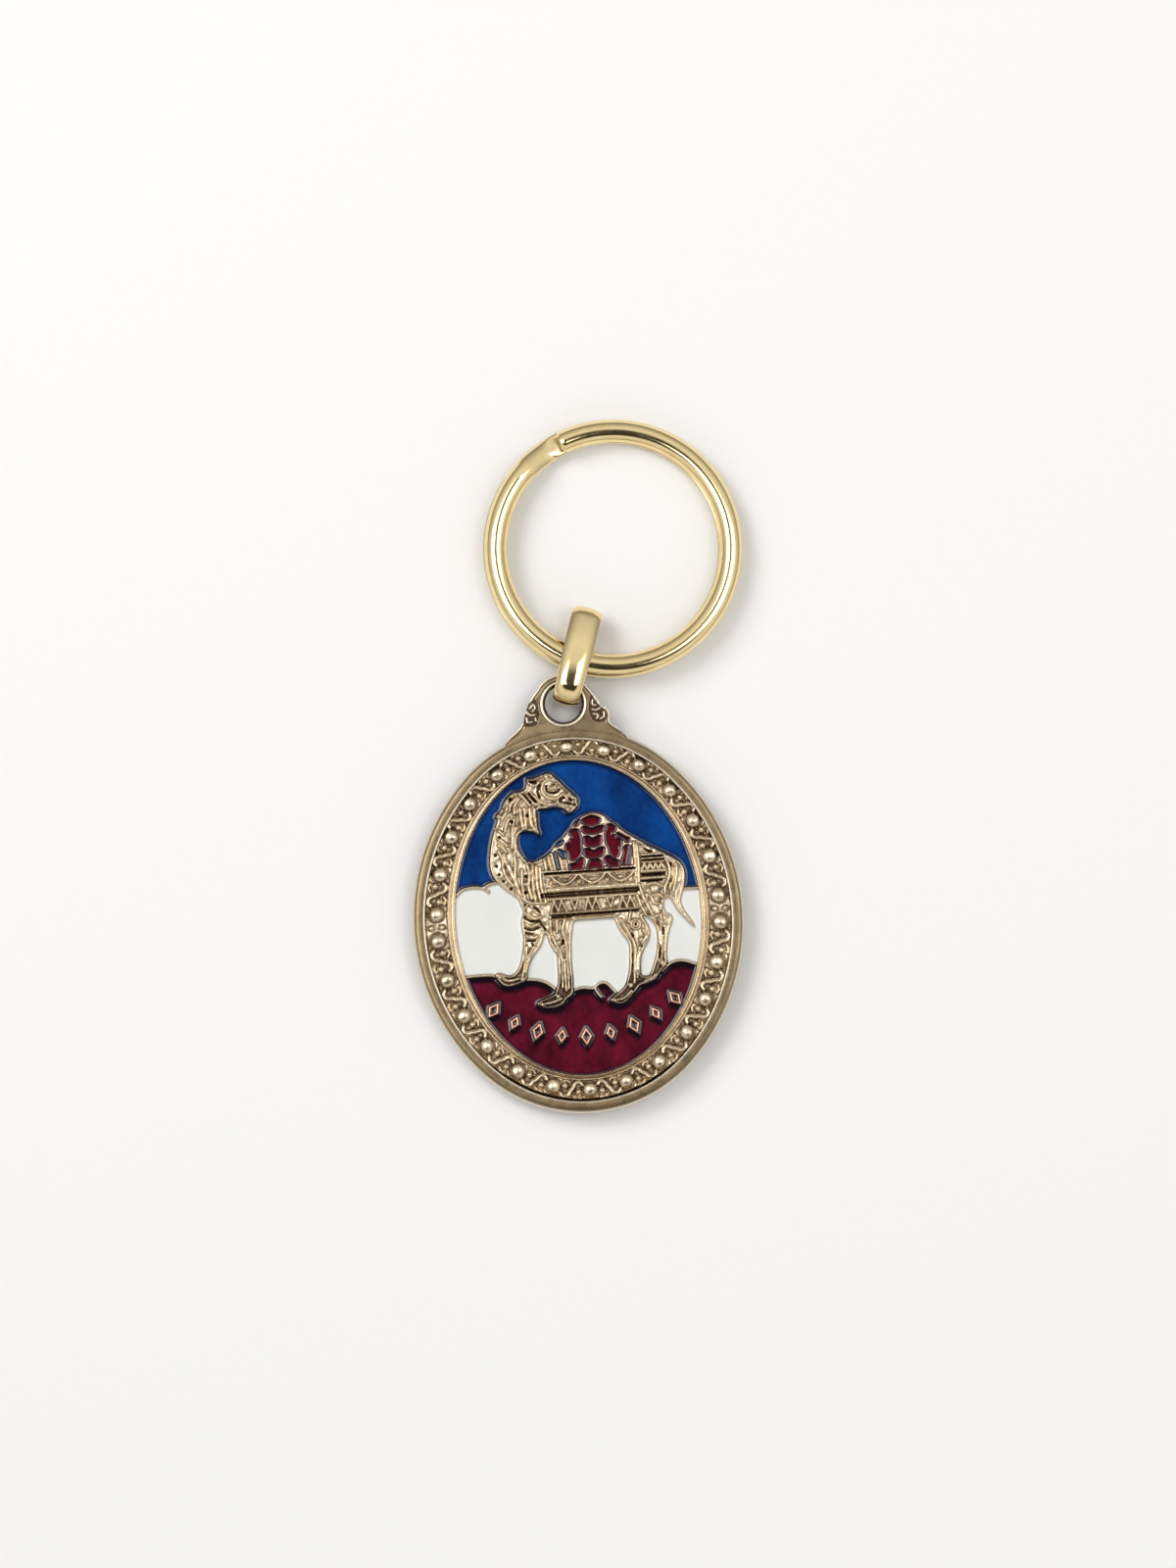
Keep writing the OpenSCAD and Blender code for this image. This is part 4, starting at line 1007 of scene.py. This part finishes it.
def split_ring():
    """One wire wound twice round: flat where the turns meet, stepping up between them."""
    centre = Vector(joint_of("ring_spin")["pos_m"]) / MM
    normal = Vector(joint_of("ring_spin")["axis"]).normalized()
    right = (Vector((1, 0, 0)) - normal * normal.x).normalized()
    ahead = normal.cross(right)
    start, step_from, step_to, end = 140, 473, 500, 833
    xs = 0.985 * np.sin(np.linspace(-90, 90, 25) * math.pi / 180)
    crown = WIRE_R * (1 - np.abs(xs) ** 2.15) ** 0.5
    seat = HALF_SLIT + 0.16 * np.abs(xs) ** 9
    rows = []
    angles = np.linspace(start, end, int(760 / COARSE))
    for a in angles:
        m = float(ease(a, step_from, step_to))
        between = float(ease(m, 0, 0.25) * ease(1 - m, 0, 0.25))
        lens = WIRE_R * (1 - np.abs(xs * (1 - 0.134 * between)) ** 2.15) ** 0.5
        top = (1 - between) * (-seat * (1 - m) + crown * m) + between * (lens - WIRE_R * (1 - m))
        low = (1 - between) * (-crown * (1 - m) + seat * m) + between * (WIRE_R * m - lens)
        from_end = math.radians(min(a - start, end - a)) * RING_R
        nip = 1 - 0.22 * (1 - min(from_end / 0.5, 1)) ** 2
        mid = (top[len(xs) // 2] + low[len(xs) // 2]) / 2
        radial = right * math.cos(math.radians(a)) + ahead * math.sin(math.radians(a))
        slip = (right * -0.13 + ahead * -0.08) * (1 - m)
        section = list(zip(xs, top)) + list(zip(xs[::-1][1:-1], low[::-1][1:-1]))
        row = []
        for x, z in section:
            outward = radial * (RING_R + x * WIRE_R * nip)
            row.append(tuple(centre + slip + outward + normal * (mid + (z - mid) * nip)))
        rows.append(row)
    points, faces = swept(rows, close_ends=False)
    m = len(rows[0])
    for first, flip in ((0, False), (len(points) - m, True)):
        loop = list(range(first, first + m))
        middle = len(points)
        points = np.vstack([points, points[loop].mean(axis=0)])
        caps = [[b, a, middle] for a, b in zip(loop, loop[1:] + loop[:1])]
        faces += [c[::-1] for c in caps] if flip else caps
    add_piece("split_ring_wire", "ring", "bright_gold_plate", GOLD, points, faces, ["split_ring"], 50)


# ---- studio --------------------------------------------------------------------------
def softbox(name, place, size, radiance, aimed=False):
    """A rectangular light that faces straight down, or the medal when aimed."""
    data = bpy.data.lights.new(name, "AREA")
    data.shape = "RECTANGLE"
    data.size, data.size_y = size
    data.energy = radiance * math.pi * size[0] * size[1]
    light = bpy.data.objects.new(name, data)
    light.location = place
    if aimed:
        light.rotation_euler = Vector(place).to_track_quat("Z", "Y").to_euler()
    bpy.context.scene.collection.objects.link(light)
    return light


def table():
    """A wide pale sheet just under the medal's back."""
    half = 1.5
    mesh = bpy.data.meshes.new("floor")
    corners = [(-half, -half, 0), (half, -half, 0), (half, half, 0), (-half, half, 0)]
    mesh.from_pydata(corners, [], [(0, 1, 2, 3)])
    mesh.materials.append(paper())
    floor = bpy.data.objects.new("floor", mesh)
    floor.location.z = -0.00002
    bpy.context.scene.collection.objects.link(floor)


# Brightness of the room by height, from the foot to overhead.
SKY_STOPS = [(0.0, (0.35, 0.34, 0.33)), (0.35, (0.62, 0.61, 0.60)), (0.7, (0.95, 0.94, 0.92)),
             (0.86, (0.85, 0.83, 0.80)), (0.925, (0.06, 0.055, 0.05)), (1.0, (0.04, 0.036, 0.032))]
SKY_LEAN = math.radians(16)


def room():
    """A pale room with a dark opening overhead, which leans towards the foot of the medal."""
    world = bpy.data.worlds.new("studio")
    bpy.context.scene.world = world
    world.use_nodes = True
    tree = world.node_tree
    background = tree.nodes["Background"]
    where = tree.nodes.new("ShaderNodeTexCoord")
    along = tree.nodes.new("ShaderNodeVectorMath")
    along.operation = "DOT_PRODUCT"
    along.inputs[1].default_value = (0, -math.sin(SKY_LEAN), math.cos(SKY_LEAN))
    ramp = tree.nodes.new("ShaderNodeValToRGB")
    tree.links.new(where.outputs["Generated"], along.inputs[0])
    tree.links.new(along.outputs["Value"], ramp.inputs["Fac"])
    tree.links.new(ramp.outputs["Color"], background.inputs["Color"])
    fill_ramp(ramp.color_ramp, SKY_STOPS)
    background.inputs["Strength"].default_value = 0.9


def lights():
    """The left softbox is only mirrored in the metal; the lower key behind it casts the shadows."""
    mirrored = softbox("softbox_left", (-0.27, 0.06, 0.62), (0.36, 0.34), 4.3)
    mirrored.visible_diffuse = False
    softbox("softbox_right", (0.27, 0.02, 0.62), (0.36, 0.30), 2.7)
    key = softbox("key", (-0.5, 0.45, 0.65), (0.48, 0.48), 5.2, aimed=True)
    key.visible_glossy = False


# The camera looks straight down on this length of table, turned a little to the right.
CAMERA_HEIGHT = 0.6
SEEN_LENGTH = 0.1825


def camera():
    data = bpy.data.cameras.new("camera")
    data.sensor_width = 36
    data.lens = data.sensor_width * CAMERA_HEIGHT / SEEN_LENGTH
    made = bpy.data.objects.new("camera", data)
    made.location = (2.206 * MM, 15.68 * MM, CAMERA_HEIGHT)
    made.rotation_euler = (0, 0, math.radians(-4))
    bpy.context.scene.collection.objects.link(made)
    bpy.context.scene.camera = made


def studio():
    bpy.context.scene.view_settings.view_transform = "Standard"
    table()
    room()
    lights()
    camera()


medal_body()
field_ridge()
border_ornament()
lug()
animal()
walls_and_motifs()
enamels()
connecting_link()
split_ring()
studio()
